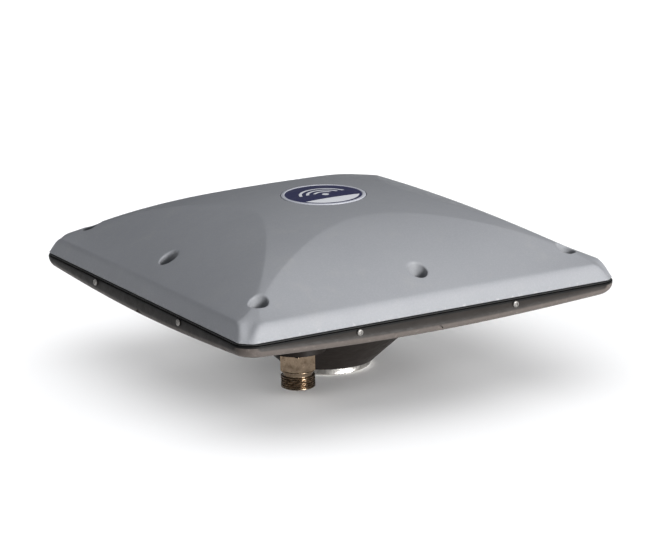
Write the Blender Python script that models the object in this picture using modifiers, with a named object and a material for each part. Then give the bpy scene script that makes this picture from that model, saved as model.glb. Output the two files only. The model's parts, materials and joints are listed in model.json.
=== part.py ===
"""Square-radome survey antenna with a pole-mount hub and one coaxial jack.

The origin is the centre of the resting face under the hub, +Z is up, and the base's
sides lie along X and Y.  Lengths are in metres; MM turns millimetres into metres.
"""

import math

import bmesh
import bpy
from mathutils import Matrix, Vector

MM = 0.001

# --- overall -----------------------------------------------------------------
PLATE_SIDE = 200.0 * MM  # square base, side to side
PLATE_CORNER_R = 10.0 * MM  # plan radius of the base's corners
PARTING_Z = 48.4 * MM  # underside of the radome's rim
DOME_RISE = 34.5 * MM  # top of the radome above PARTING_Z

# --- clearances ----------------------------------------------------------------
GAP = 0.3 * MM  # between faces that seat on each other
HOLE_GAP = 0.3 * MM  # radial, round a shank, sleeve or stud
LIP_GAP = 0.4 * MM  # between the radome's lip and the base's wall

# --- radome ------------------------------------------------------------------
RIM_INSET = 1.0 * MM  # radome's lower edge inboard of the base's side
RIM_CORNER_R = 9.5 * MM  # plan radius of the radome's corners
SKIRT_HEIGHT = 7.7 * MM  # steep edge, up to the fold below each facet
SKIRT_LEAN = 3.0 * MM  # the skirt leans in by this over its height
CORNER_HEIGHT = 13.75 * MM  # height of the crown over the corner screws
CROWN_FLATNESS = 0.067  # share of the crown's fall that goes with the fourth power
FACET_LEVEL = 0.3 * MM  # the facets' level line lies this far over the crown's top
FACET_START = 14.4 * MM  # distance of that level line from the centre
FACET_BOW = 3.8 * MM  # fall of a facet from its middle to the corner
RADOME_WALL = 3.0 * MM
LIP_WALL = 3.2 * MM  # lip that drops inside the base's wall
LIP_LENGTH = 100.0 * MM  # along each side, clear of the corners
BADGE_R = 20.0 * MM
BADGE_SEAT_DEPTH = 1.4 * MM  # flat seat under the badge, below the top of the dome

# --- base --------------------------------------------------------------------
BASE_WALL = 3.0 * MM
EDGE_DEPTH = 9.7 * MM  # underside at the middle of a side, below PARTING_Z
EDGE_FILLET_R = 5.0 * MM
DISH_ANGLE = math.radians(4.6)  # the underside rises outwards at this angle
GASKET_T = 0.4 * MM
GASKET_INSET = 0.5 * MM
HUB_FOOT_R = 23.1 * MM
HUB_TOP_R = 58.3 * MM
HUB_FLOOR_T = 7.0 * MM
DRAIN_WIDTH = 7.0 * MM  # notch in the lower edge, at the middle of each side
DRAIN_DEPTH = 2.0 * MM
DRAIN_HEIGHT = 3.5 * MM

# --- pole mount --------------------------------------------------------------
INSERT_FLANGE_R = 21.2 * MM
INSERT_FLANGE_T = 3.0 * MM
INSERT_SLEEVE_R = 11.0 * MM
INSERT_TOP_T = 3.0 * MM  # closed end over the threaded bore
POLE_BORE_R = 6.75 * MM  # minor radius of a 5/8 inch 11 TPI thread
POLE_MAJOR_R = 7.95 * MM
POLE_BORE_DEPTH = 21.0 * MM
EDGE_BREAK = 0.7 * MM  # chamfers on turned edges
INSERT_SCREW_R = 1.5 * MM
INSERT_HEAD_R = 2.75 * MM
INSERT_HEAD_T = 1.6 * MM
INSERT_SCREW_CIRCLE_R = 16.0 * MM
INSERT_SCREW_LENGTH = 8.0 * MM

# --- radome screws -----------------------------------------------------------
SIDE_POCKET_INSET = 17.4 * MM  # pocket axis from the base's side, mid-side
CORNER_POCKET_INSET = 18.4 * MM  # pocket axis from both sides, at a corner
POCKET_R = 4.5 * MM
POCKET_FLOOR = 4.0 * MM  # floor of the pockets above PARTING_Z
POCKET_WALL = 2.5 * MM
DOME_SCREW_R = 2.0 * MM
DOME_HEAD_R = 3.5 * MM
DOME_HEAD_T = 2.6 * MM
DOME_SCREW_GRIP = 4.8 * MM  # length of shank inside the base's boss
SEAL_R = 4.0 * MM
SEAL_T = 0.8 * MM
BOSS_R = 6.0 * MM

# --- side screws -------------------------------------------------------------
SIDE_SCREW_SPACING = 82.4 * MM
SIDE_SCREW_DROP = 2.7 * MM  # axis below PARTING_Z
SIDE_SCREW_R = 1.0 * MM
SIDE_HEAD_R = 1.5 * MM
SIDE_HEAD_T = 0.7 * MM

# --- electronics -------------------------------------------------------------
GROUND_R = 72.0 * MM
GROUND_T = 1.5 * MM
POST_R = 4.0 * MM
POST_CIRCLE_R = 66.0 * MM
POST_RISE = 1.0 * MM  # top of the posts above PARTING_Z
SPACER_H = 8.0 * MM
BOARD_R = 70.0 * MM
BOARD_T = 1.6 * MM
BOARD_SCREW_R = 2.0 * MM
BOARD_HEAD_R = 3.5 * MM
BOARD_HEAD_T = 2.4 * MM
BOARD_SCREW_GRIP = 5.0 * MM
RADIATOR_R = 58.0 * MM
RADIATOR_T = 0.4 * MM
SLOT_COUNT = 12
SLOT_WIDTH = 3.0 * MM
SLOT_INNER_R = 16.0 * MM
SLOT_OUTER_R = 53.0 * MM
SLOT_SWEEP = math.radians(75.0)
AMP_LENGTH = 56.0 * MM
AMP_WIDTH = 40.0 * MM
AMP_HOLE_INSET = 3.5 * MM
AMP_STANDOFF_R = 2.4 * MM
AMP_STANDOFF_H = 4.8 * MM
AMP_SCREW_R = 1.25 * MM
AMP_HEAD_R = 2.2 * MM
AMP_HEAD_T = 1.5 * MM
COVER_LENGTH = 40.0 * MM
COVER_WIDTH = 26.0 * MM
COVER_H = 5.0 * MM
COVER_SHEET = 0.5 * MM
FEED_R = 1.1 * MM
FEED_HOLE_R = 3.0 * MM

# --- coaxial jack ------------------------------------------------------------
JACK_OFFSET = 36.8 * MM  # axis from the centre, along -X and -Y
JACK_END_Z = 3.8 * MM
JACK_CONE_GAP = 1.1 * MM  # from the hexagon's corners to the hub's cone
JACK_SEAT_T = 4.0 * MM
JACK_THREAD_R = 7.95 * MM  # 5/8 inch 24 TPI coupling thread
JACK_RELIEF_R = 6.8 * MM
JACK_BORE_R = 4.2 * MM
JACK_SOCKET_DEPTH = 9.0 * MM
JACK_HEX_AF = 16.0 * MM
JACK_HEX_Z = 12.6 * MM
JACK_COLLAR_T = 1.0 * MM
JACK_RELIEF_T = 1.6 * MM
JACK_STUD_R = 6.0 * MM
JACK_RING_T = 0.8 * MM
JACK_WASHER_R = 9.0 * MM
JACK_WASHER_T = 0.8 * MM
JACK_NUT_AF = 17.0 * MM
JACK_NUT_T = 3.5 * MM
JACK_NUT_ROOM = 0.8 * MM  # round the nut's corners
JACK_PIN_R = 1.5 * MM
JACK_PIN_TAIL = 1.5 * MM
PIGTAIL_R = 1.3 * MM

# --- worked out from the sizes above --------------------------------------------
HALF = PLATE_SIDE / 2
RIM_HALF = HALF - RIM_INSET
FOLD_U = RIM_HALF - SKIRT_LEAN
BASE_TOP_Z = PARTING_Z - 2 * GAP - GASKET_T
DOME_TOP_Z = PARTING_Z + DOME_RISE
EDGE_Z = PARTING_Z - EDGE_DEPTH
DISH_SLOPE = math.tan(DISH_ANGLE)
HUB_TOP_Z = EDGE_Z - (HALF - HUB_TOP_R) * DISH_SLOPE
HUB_FOOT_Z = INSERT_FLANGE_T + GAP
WALL_INNER = HALF - BASE_WALL
LIP_OUTER = WALL_INNER - LIP_GAP
LIP_INNER = LIP_OUTER - LIP_WALL
LIP_END_R = math.hypot(LIP_OUTER, LIP_LENGTH / 2)
LIP_LOW_Z = EDGE_Z + (LIP_END_R - HALF) * DISH_SLOPE + (BASE_WALL + EDGE_FILLET_R) / 2 + LIP_GAP
SIDE_POCKET_U = HALF - SIDE_POCKET_INSET
CORNER_POCKET_U = HALF - CORNER_POCKET_INSET
BOSS_TOP_Z = PARTING_Z - GAP
SEAL_Z = PARTING_Z + POCKET_FLOOR + GAP
DOME_HEAD_Z = SEAL_Z + SEAL_T + GAP
POST_TOP_Z = PARTING_Z + POST_RISE
GROUND_Z = POST_TOP_Z + GAP
SPACER_Z = GROUND_Z + GROUND_T + GAP
BOARD_Z = SPACER_Z + SPACER_H + GAP
BOARD_TOP_Z = BOARD_Z + BOARD_T
AMP_TOP_Z = GROUND_Z - AMP_STANDOFF_H - GAP
AMP_Z = AMP_TOP_Z - BOARD_T
JACK_X = -JACK_OFFSET
JACK_Y = -JACK_OFFSET
HUB_SLOPE = (HUB_TOP_R - HUB_FOOT_R) / (HUB_TOP_Z - HUB_FOOT_Z)  # radius gained per height
JACK_AXIS_R = JACK_OFFSET * math.sqrt(2.0)
JACK_HEX_IN_R = JACK_AXIS_R - JACK_HEX_AF / math.sqrt(3.0) - JACK_CONE_GAP
JACK_HEX_TOP_Z = HUB_FOOT_Z + (JACK_HEX_IN_R - HUB_FOOT_R) / HUB_SLOPE
JACK_SEAT_Z = JACK_HEX_TOP_Z + 2 * GAP + JACK_RING_T  # flat face of the jack's boss
JACK_POCKET_R = JACK_NUT_AF / math.sqrt(3.0) + JACK_NUT_ROOM
JACK_STUD_TOP_Z = JACK_SEAT_Z + JACK_SEAT_T + GAP + JACK_WASHER_T + GAP + JACK_NUT_T + EDGE_BREAK
CROWN_REACH = PLATE_SIDE * 0.75  # how far out the crown's body goes, past the corners
FACET_REACH = HALF * 1.1  # how far out the facets' bodies go, past the sides
DOME_SOLVER = "MANIFOLD"  # EXACT leaves the dome open where its curved faces cross at fine angles
WELD_DISTANCE = 0.01 * MM
SOCKET_SHARE = 0.45  # a cap screw's socket and flat top, as shares of its head
FLAT_TOP_SHARE = 0.7
SMOOTH_ANGLE = math.radians(35.0)
FINE_STEPS = 48
ROUND_STEPS = 24
POCKET_STEPS = 20
SMALL_STEPS = 10


# --- scene -------------------------------------------------------------------


def clear_scene():
    for obj in list(bpy.data.objects):
        bpy.data.objects.remove(obj, do_unlink=True)


def new_collection(name):
    collection = bpy.data.collections.new(name)
    bpy.context.scene.collection.children.link(collection)
    return collection


def make_material(name, colour, roughness, metallic):
    material = bpy.data.materials.new(name)
    material.use_nodes = True
    shader = material.node_tree.nodes["Principled BSDF"]
    shader.inputs["Base Color"].default_value = (*colour, 1.0)
    shader.inputs["Roughness"].default_value = roughness
    shader.inputs["Metallic"].default_value = metallic
    return material


# --- mesh helpers ----------------------------------------------------------------


def as_object(name, mesh, collection):
    obj = bpy.data.objects.new(name, mesh)
    collection.objects.link(obj)
    return obj


def part(name, mesh, material):
    """A finished sub-part: one named object with its own material, shaded smooth."""
    mesh.materials.append(material)
    mesh.shade_smooth()
    mesh.set_sharp_from_angle(angle=SMOOTH_ANGLE)
    obj = as_object(name, mesh, PARTS)
    obj.parent = ROOT
    return obj


def parts_at(name, mesh, places, material):
    """Numbered copies of one sub-part, which share its mesh."""
    first = part(name + "_1", mesh, material)
    first.matrix_world = places[0]
    for number, place in enumerate(places[1:], 2):
        copy = as_object(f"{name}_{number}", mesh, PARTS)
        copy.parent = ROOT
        copy.matrix_world = place


def cutter(name, mesh):
    """A helper body for Booleans, kept out of the parts."""
    obj = as_object(name, mesh, CUTTERS)
    obj.hide_render = True
    obj.display_type = "WIRE"
    return obj


def boolean(obj, other, operation, solver="EXACT"):
    modifier = obj.modifiers.new(other.name, "BOOLEAN")
    modifier.operation = operation
    modifier.solver = solver
    modifier.object = other


def evaluated_mesh(obj):
    """The object's mesh after its modifiers, in world space."""
    bpy.context.view_layer.update()
    graph = bpy.context.evaluated_depsgraph_get()
    mesh = bpy.data.meshes.new_from_object(obj.evaluated_get(graph))
    mesh.transform(obj.matrix_world)
    return mesh


def made_solid(obj):
    """The mesh of a turned profile or a curve, with its loose caps welded; the object goes."""
    mesh = evaluated_mesh(obj)
    bpy.data.objects.remove(obj)
    bm = bmesh.new()
    bm.from_mesh(mesh)
    bmesh.ops.remove_doubles(bm, verts=bm.verts, dist=WELD_DISTANCE)
    bm.to_mesh(mesh)
    bm.free()
    return mesh


def turned(profile, steps=ROUND_STEPS, closed=False):
    """A profile of (radius, z) points turned about Z; it runs down its outer side."""
    points = [(radius, 0.0, z) for radius, z in profile]
    edges = [(i, i + 1) for i in range(len(points) - 1)]
    if closed:
        edges.append((len(points) - 1, 0))
    mesh = bpy.data.meshes.new("profile")
    mesh.from_pydata(points, edges, [])
    obj = as_object("profile", mesh, CUTTERS)
    screw = obj.modifiers.new("turn", "SCREW")
    screw.steps = steps
    screw.render_steps = steps
    screw.use_merge_vertices = True
    screw.merge_threshold = WELD_DISTANCE
    return made_solid(obj)


def rod(radius, low, high, steps=ROUND_STEPS):
    return turned([(0.0, high), (radius, high), (radius, low), (0.0, low)], steps)


def tube(inner, outer, low, high, steps=ROUND_STEPS):
    return turned([(inner, high), (outer, high), (outer, low), (inner, low)], steps, closed=True)


def block(length, width, low, high):
    bm = bmesh.new()
    bmesh.ops.create_cube(bm, size=1.0)
    bmesh.ops.scale(bm, vec=(length, width, high - low), verts=bm.verts)
    bmesh.ops.translate(bm, vec=(0.0, 0.0, (low + high) / 2), verts=bm.verts)
    mesh = bpy.data.meshes.new("block")
    bm.to_mesh(mesh)
    bm.free()
    return mesh


def hex_prism(across_flats, low, high):
    bm = bmesh.new()
    radius = across_flats / math.sqrt(3.0)
    bmesh.ops.create_cone(
        bm, cap_ends=True, segments=6, radius1=radius, radius2=radius, depth=high - low
    )
    bmesh.ops.rotate(bm, matrix=Matrix.Rotation(math.radians(30.0), 3, "Z"), verts=bm.verts)
    bmesh.ops.translate(bm, vec=(0.0, 0.0, (low + high) / 2), verts=bm.verts)
    mesh = bpy.data.meshes.new("hex")
    bm.to_mesh(mesh)
    bm.free()
    return mesh


def gather(placed):
    """One mesh of separate bodies, from (mesh, matrix) pairs."""
    bm = bmesh.new()
    for mesh, matrix in placed:
        copy = mesh.copy()
        copy.transform(matrix)
        bm.from_mesh(copy)
        bpy.data.meshes.remove(copy)
    mesh = bpy.data.meshes.new("group")
    bm.to_mesh(mesh)
    bm.free()
    return mesh


def at(x, y, z=0.0):
    return Matrix.Translation((x, y, z))


def turn(angle):
    return Matrix.Rotation(angle, 4, "Z")


def repeat(mesh, places):
    return gather([(mesh, place) for place in places])


def rounded_square(half, radius, z=0.0, corner_steps=4, side_steps=6):
    """Closed outline of a square with rounded corners, anticlockwise from +X."""
    points = []
    for quarter in range(4):
        spin = Matrix.Rotation(quarter * math.pi / 2, 3, "Z")
        straight = half - radius
        for i in range(side_steps):
            along = -straight + 2 * straight * i / side_steps
            points.append(spin @ Vector((half, along, z)))
        for i in range(corner_steps):
            angle = math.pi / 2 * i / corner_steps
            corner = Vector((straight, straight, z))
            corner += Vector((radius * math.cos(angle), radius * math.sin(angle), 0.0))
            points.append(spin @ corner)
    return points


def loft(rings):
    """A closed body through rings with the same number of points, capped at both ends."""
    bm = bmesh.new()
    loops = [[bm.verts.new(point) for point in ring] for ring in rings]
    for lower, upper in zip(loops, loops[1:]):
        for i in range(len(lower)):
            j = (i + 1) % len(lower)
            bm.faces.new((lower[i], lower[j], upper[j], upper[i]))
    bm.faces.new(reversed(loops[0]))
    bm.faces.new(loops[-1])
    bmesh.ops.recalc_face_normals(bm, faces=bm.faces)
    mesh = bpy.data.meshes.new("loft")
    bm.to_mesh(mesh)
    bm.free()
    return mesh


def flat_plate(outlines, low, high):
    """A flat piece between two heights; the outlines after the first are its holes."""
    curve = bpy.data.curves.new("outline", "CURVE")
    curve.dimensions = "2D"
    curve.fill_mode = "BOTH"
    curve.extrude = (high - low) / 2
    for outline in outlines:
        spline = curve.splines.new("POLY")
        spline.points.add(len(outline) - 1)
        for point, place in zip(spline.points, outline):
            point.co = (place[0], place[1], 0.0, 1.0)
        spline.use_cyclic_u = True
    obj = as_object("outline", curve, CUTTERS)
    obj.location.z = (low + high) / 2
    return made_solid(obj)


def wire(points, radius):
    """A round wire along points, with filled ends."""
    curve = bpy.data.curves.new("wire", "CURVE")
    curve.dimensions = "3D"
    curve.bevel_depth = radius
    curve.bevel_resolution = 2
    curve.use_fill_caps = True
    spline = curve.splines.new("POLY")
    spline.points.add(len(points) - 1)
    for point, place in zip(spline.points, points):
        point.co = (*place, 1.0)
    obj = as_object("wire", curve, CUTTERS)
    return made_solid(obj)


# --- places ------------------------------------------------------------------


def quarter_turns():
    return [turn(quarter * math.pi / 2) for quarter in range(4)]


def pocket_places():
    """The radome's eight screws: one mid-side and one corner screw on each quarter."""
    side = [spin @ at(SIDE_POCKET_U, 0.0) for spin in quarter_turns()]
    corner = [spin @ at(CORNER_POCKET_U, CORNER_POCKET_U) for spin in quarter_turns()]
    return side + corner


def post_places():
    return [spin @ at(POST_CIRCLE_R, 0.0) for spin in quarter_turns()]


def insert_screw_places():
    return [turn(math.pi / 4) @ spin @ at(INSERT_SCREW_CIRCLE_R, 0.0) for spin in quarter_turns()]


def side_screw_places():
    """Two on each side; local +Z points out of the wall, local origin on its outer face."""
    outward = Matrix.Rotation(math.pi / 2, 4, "Y")
    height = PARTING_Z - SIDE_SCREW_DROP
    places = []
    for spin in quarter_turns():
        for along in (-SIDE_SCREW_SPACING / 2, SIDE_SCREW_SPACING / 2):
            places.append(spin @ at(HALF, along, height) @ outward)
    return places


def amp_hole_places():
    x = AMP_LENGTH / 2 - AMP_HOLE_INSET
    y = AMP_WIDTH / 2 - AMP_HOLE_INSET
    return [at(sx * x, sy * y) for sx in (-1, 1) for sy in (-1, 1)]


# --- radome ------------------------------------------------------------------


def crown_height(radius):
    """Height of the radome's turned crown above PARTING_Z."""

    def fall(distance):
        share = distance / HALF
        return (1 - CROWN_FLATNESS) * share**2 + CROWN_FLATNESS * share**4

    corner = CORNER_POCKET_U * math.sqrt(2.0)
    return DOME_RISE - (DOME_RISE - CORNER_HEIGHT) * fall(radius) / fall(corner)


def facet_height(distance):
    """Height of a facet's middle line above PARTING_Z, going out from the centre."""
    top = DOME_RISE + FACET_LEVEL
    if distance <= FACET_START:
        return top
    share = (distance - FACET_START) / (FOLD_U - FACET_START)
    return top - (top - SKIRT_HEIGHT) * share**2


def crown_body(drop, low, steps):
    """The dome's turned top; it has four sides round the axis for each step outwards."""
    sides = 4 * steps
    radii = [CROWN_REACH * i / steps for i in range(steps + 1)]
    profile = [(radius, PARTING_Z + crown_height(radius) - drop) for radius in radii]
    profile += [(CROWN_REACH, low - PLATE_SIDE), (0.0, low - PLATE_SIDE)]
    mesh = turned(profile, sides)
    mesh.transform(turn(math.pi / sides))
    return mesh


def facet_body(drop, low, steps):
    """Two opposite facets as one bowed bar along Y, its section in the XZ plane."""
    out = [FACET_START + (FACET_REACH - FACET_START) * i / steps for i in range(steps + 1)]
    top = [(-u, facet_height(u) - drop) for u in reversed(out)]
    top += [(u, facet_height(u) - drop) for u in out]
    section = [(u, PARTING_Z + z) for u, z in top]
    section += [(FACET_REACH, low - PLATE_SIDE), (-FACET_REACH, low - PLATE_SIDE)]
    stations = [FACET_REACH * (2 * i / steps - 1) for i in range(steps + 1)]
    bm = bmesh.new()

    def bow(y):
        return -FACET_BOW * (y / HALF) ** 2

    y0 = stations[0]
    face = bm.faces.new([bm.verts.new((x, y0, z + bow(y0))) for x, z in section])
    for before, after in zip(stations, stations[1:]):
        grown = bmesh.ops.extrude_face_region(bm, geom=[face])["geom"]
        step = Vector((0.0, after - before, bow(after) - bow(before)))
        verts = [item for item in grown if isinstance(item, bmesh.types.BMVert)]
        bmesh.ops.translate(bm, vec=step, verts=verts)
        if before > y0:
            bm.faces.remove(face)
        face = next(item for item in grown if isinstance(item, bmesh.types.BMFace))
    bmesh.ops.recalc_face_normals(bm, faces=bm.faces)
    mesh = bpy.data.meshes.new("facets")
    bm.to_mesh(mesh)
    bm.free()
    return mesh


def square_block(half, corner_radius, lean, low, high):
    """A block with rounded corners whose sides lean in by lean per metre above PARTING_Z."""
    rings = []
    for z in (low, high):
        inset = (z - PARTING_Z) * lean
        rings.append(rounded_square(half - inset, corner_radius, z))
    return loft(rings)


def dome_body(name, half, corner_radius, lean, drop, low, steps):
    """The dome's solid form: a block under a turned crown and four bowed facets."""
    mesh = square_block(half, corner_radius, lean, low, DOME_TOP_Z + RADOME_WALL)
    body = cutter(name, mesh)
    facets = facet_body(drop, low, steps // 2 + 1)
    crossed = facets.copy()
    crossed.transform(turn(math.pi / 2))
    boolean(body, cutter(name + "_crown", crown_body(drop, low, steps)), "INTERSECT", DOME_SOLVER)
    boolean(body, cutter(name + "_facets_x", facets), "INTERSECT", DOME_SOLVER)
    boolean(body, cutter(name + "_facets_y", crossed), "INTERSECT", DOME_SOLVER)
    return body


def make_radome(material):
    lean = SKIRT_LEAN / SKIRT_HEIGHT
    outer = dome_body("dome_outside", RIM_HALF, RIM_CORNER_R, lean, 0.0, PARTING_Z, 12)
    inner_corner = RIM_CORNER_R - LIP_WALL
    low = LIP_LOW_Z - RADOME_WALL
    inner = dome_body("dome_inside", LIP_INNER, inner_corner, 0.0, RADOME_WALL, low, 8)
    pillar = rod(POCKET_R + POCKET_WALL, PARTING_Z, DOME_TOP_Z + RADOME_WALL, POCKET_STEPS)
    pillars = cutter("pocket_pillars", repeat(pillar, pocket_places()))
    boolean(inner, pillars, "DIFFERENCE", DOME_SOLVER)

    lip = block(2 * LIP_OUTER, LIP_LENGTH, LIP_LOW_Z, PARTING_Z + SKIRT_HEIGHT / 2)
    crossed = lip.copy()
    crossed.transform(turn(math.pi / 2))
    boolean(outer, cutter("lip_x", lip), "UNION", DOME_SOLVER)
    boolean(outer, cutter("lip_y", crossed), "UNION", DOME_SOLVER)
    boolean(outer, inner, "DIFFERENCE", DOME_SOLVER)

    floor = PARTING_Z + POCKET_FLOOR
    hole_r = DOME_SCREW_R + HOLE_GAP
    pocket = turned([
        (0.0, DOME_TOP_Z + RADOME_WALL),
        (POCKET_R, DOME_TOP_Z + RADOME_WALL),
        (POCKET_R, floor),
        (hole_r, floor),
        (hole_r, PARTING_Z - RADOME_WALL),
        (0.0, PARTING_Z - RADOME_WALL),
    ], POCKET_STEPS)
    side_hole = rod(SIDE_SCREW_R + HOLE_GAP, -HALF + LIP_INNER - LIP_WALL, BASE_WALL, SMALL_STEPS)
    seat_z = DOME_TOP_Z - BADGE_SEAT_DEPTH
    badge_seat = rod(BADGE_R + GAP, seat_z, DOME_TOP_Z + RADOME_WALL, FINE_STEPS)
    cuts = [(pocket, place) for place in pocket_places()]
    cuts += [(side_hole, place) for place in side_screw_places()]
    cuts.append((badge_seat, at(0.0, 0.0)))
    boolean(outer, cutter("radome_cuts", gather(cuts)), "DIFFERENCE", DOME_SOLVER)
    part("radome", evaluated_mesh(outer), material)


def make_badge(material):
    """A thin domed disc that carries the crown's curve on over its seat."""
    steps = 5
    radii = [BADGE_R * i / steps for i in range(steps + 1)]
    profile = [(radius, PARTING_Z + crown_height(radius)) for radius in radii]
    low = DOME_TOP_Z - BADGE_SEAT_DEPTH + GAP
    profile += [(BADGE_R, low), (0.0, low)]
    part("badge", turned(profile, FINE_STEPS), material)


def make_gasket(material):
    outer = rounded_square(HALF - GASKET_INSET, PLATE_CORNER_R - GASKET_INSET)
    inner = rounded_square(WALL_INNER, PLATE_CORNER_R - BASE_WALL)
    low = BASE_TOP_Z + GAP
    part("radome_gasket", flat_plate([outer, inner], low, low + GASKET_T), material)


# --- base --------------------------------------------------------------------


def underside(radius):
    """Height of the base's dished underside."""
    return HUB_TOP_Z + max(radius - HUB_TOP_R, 0.0) * DISH_SLOPE


def edge_rings(half, corner_radius, fillet, lift, steps):
    """Rings round the lower edge, from the wall's foot to the underside."""
    rings = []
    for i in range(steps + 1):
        angle = math.pi / 2 * i / steps
        inset = fillet * (1 - math.cos(angle))
        rise = fillet * (1 - math.sin(angle))
        ring = rounded_square(half - inset, corner_radius - inset)
        for point in ring:
            point.z = underside(point.length) + rise + lift
        rings.append(ring)
    return rings


def circle_like(ring, radius, z):
    """A circle whose points lie in the same directions as the ring's."""
    points = []
    for point in ring:
        angle = math.atan2(point.y, point.x)
        points.append(Vector((radius * math.cos(angle), radius * math.sin(angle), z)))
    return points


def base_shell():
    outer_top = rounded_square(HALF, PLATE_CORNER_R, BASE_TOP_Z)
    inner_corner = PLATE_CORNER_R - BASE_WALL
    inner_top = rounded_square(WALL_INNER, inner_corner, BASE_TOP_Z)
    cone_wall = BASE_WALL * math.hypot(1.0, HUB_SLOPE)
    inner_floor_z = HUB_FOOT_Z + HUB_FLOOR_T
    inner_foot_r = HUB_FOOT_R + HUB_FLOOR_T * HUB_SLOPE - cone_wall
    inner_top_r = HUB_TOP_R + BASE_WALL * HUB_SLOPE - cone_wall
    outside = edge_rings(HALF, PLATE_CORNER_R, EDGE_FILLET_R, 0.0, 4)
    inside = edge_rings(WALL_INNER, inner_corner, EDGE_FILLET_R - BASE_WALL, BASE_WALL, 2)
    rings = [
        circle_like(inner_top, inner_foot_r, inner_floor_z),
        circle_like(inner_top, inner_top_r, HUB_TOP_Z + BASE_WALL),
        *reversed(inside),
        inner_top,
        outer_top,
        *outside,
        circle_like(outer_top, HUB_TOP_R, HUB_TOP_Z),
        circle_like(outer_top, HUB_FOOT_R, HUB_FOOT_Z),
    ]
    return loft(rings)


def make_base(material):
    shell = cutter("base_shell", base_shell())

    def boss(radius, distance, top):
        return rod(radius, underside(distance) + BASE_WALL / 2, top, POCKET_STEPS)

    side_boss = boss(BOSS_R, SIDE_POCKET_U, BOSS_TOP_Z)
    corner_boss = boss(BOSS_R, CORNER_POCKET_U * math.sqrt(2.0), BOSS_TOP_Z)
    post = boss(POST_R, POST_CIRCLE_R, POST_TOP_Z)
    places = pocket_places()
    bodies = [(side_boss, place) for place in places[:4]]
    bodies += [(corner_boss, place) for place in places[4:]]
    bodies += [(post, place) for place in post_places()]
    jack_boss = rod(JACK_POCKET_R + POCKET_WALL, JACK_SEAT_Z, HUB_TOP_Z + BASE_WALL / 2)
    bodies.append((jack_boss, at(JACK_X, JACK_Y)))
    boolean(shell, cutter("base_bosses", gather(bodies)), "UNION")

    def tapped(screw_r, top, grip):
        return rod(screw_r + HOLE_GAP, top - grip - EDGE_BREAK, DOME_TOP_Z, SMALL_STEPS)

    dome_hole = tapped(DOME_SCREW_R, BOSS_TOP_Z, DOME_SCREW_GRIP)
    post_hole = tapped(BOARD_SCREW_R, POST_TOP_Z, BOARD_SCREW_GRIP)
    insert_hole = rod(
        INSERT_SCREW_R + HOLE_GAP, 0.0, INSERT_HEAD_T + INSERT_SCREW_LENGTH + EDGE_BREAK, SMALL_STEPS
    )
    sleeve_hole = rod(INSERT_SLEEVE_R + HOLE_GAP, 0.0, HUB_FOOT_Z + 2 * HUB_FLOOR_T, ROUND_STEPS)
    seat_top = JACK_SEAT_Z + JACK_SEAT_T
    jack_hole = turned([
        (0.0, DOME_TOP_Z),
        (JACK_POCKET_R, DOME_TOP_Z),
        (JACK_POCKET_R, seat_top),
        (JACK_STUD_R + HOLE_GAP, seat_top),
        (JACK_STUD_R + HOLE_GAP, 0.0),
        (0.0, 0.0),
    ], ROUND_STEPS)
    side_hole = rod(SIDE_SCREW_R + HOLE_GAP, -HALF + WALL_INNER - BASE_WALL, BASE_WALL, SMALL_STEPS)
    cuts = [(dome_hole, place) for place in places]
    cuts += [(post_hole, place) for place in post_places()]
    cuts += [(insert_hole, place) for place in insert_screw_places()]
    cuts += [(side_hole, place) for place in side_screw_places()]
    cuts += [(sleeve_hole, at(0.0, 0.0)), (jack_hole, at(JACK_X, JACK_Y))]
    drain = block(2 * DRAIN_DEPTH, DRAIN_WIDTH, HUB_FOOT_Z, EDGE_Z + DRAIN_HEIGHT)
    cuts += [(drain, spin @ at(HALF, 0.0)) for spin in quarter_turns()]
    boolean(shell, cutter("base_cuts", gather(cuts)), "DIFFERENCE")
    part("base_housing", evaluated_mesh(shell), material)


def make_mount(insert_material, screw_material):
    """Threaded insert for the pole's stud; its flange is the resting face."""
    top = POLE_BORE_DEPTH + INSERT_TOP_T
    profile = [
        (0.0, top),
        (INSERT_SLEEVE_R - EDGE_BREAK, top),
        (INSERT_SLEEVE_R, top - EDGE_BREAK),
        (INSERT_SLEEVE_R, INSERT_FLANGE_T),
        (INSERT_FLANGE_R, INSERT_FLANGE_T),
        (INSERT_FLANGE_R, EDGE_BREAK),
        (INSERT_FLANGE_R - EDGE_BREAK, 0.0),
        (POLE_MAJOR_R + EDGE_BREAK, 0.0),
        (POLE_BORE_R, POLE_MAJOR_R + EDGE_BREAK - POLE_BORE_R),
        (POLE_BORE_R, POLE_BORE_DEPTH),
        (0.0, POLE_BORE_DEPTH),
    ]
    insert = cutter("insert_blank", turned(profile, ROUND_STEPS))
    seat_z = INSERT_HEAD_T + GAP
    hole = turned([
        (0.0, 2 * INSERT_FLANGE_T),
        (INSERT_SCREW_R + HOLE_GAP, 2 * INSERT_FLANGE_T),
        (INSERT_SCREW_R + HOLE_GAP, seat_z),
        (INSERT_HEAD_R + HOLE_GAP, seat_z),
        (INSERT_HEAD_R + HOLE_GAP, -INSERT_FLANGE_T),
        (0.0, -INSERT_FLANGE_T),
    ], SMALL_STEPS)
    boolean(insert, cutter("insert_cuts", repeat(hole, insert_screw_places())), "DIFFERENCE")
    part("mount_insert", evaluated_mesh(insert), insert_material)

    low = GAP / 2  # the heads lie just inside the resting face
    head_top = INSERT_HEAD_T
    socket_r = INSERT_SCREW_R / 2
    screw = turned([
        (0.0, head_top + INSERT_SCREW_LENGTH),
        (INSERT_SCREW_R, head_top + INSERT_SCREW_LENGTH),
        (INSERT_SCREW_R, head_top),
        (INSERT_HEAD_R, head_top),
        (INSERT_HEAD_R, low),
        (socket_r, low),
        (socket_r, head_top / 2 + low),
        (0.0, head_top / 2 + low),
    ], SMALL_STEPS)
    parts_at("insert_screw", screw, insert_screw_places(), screw_material)


# --- fasteners ---------------------------------------------------------------


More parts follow.
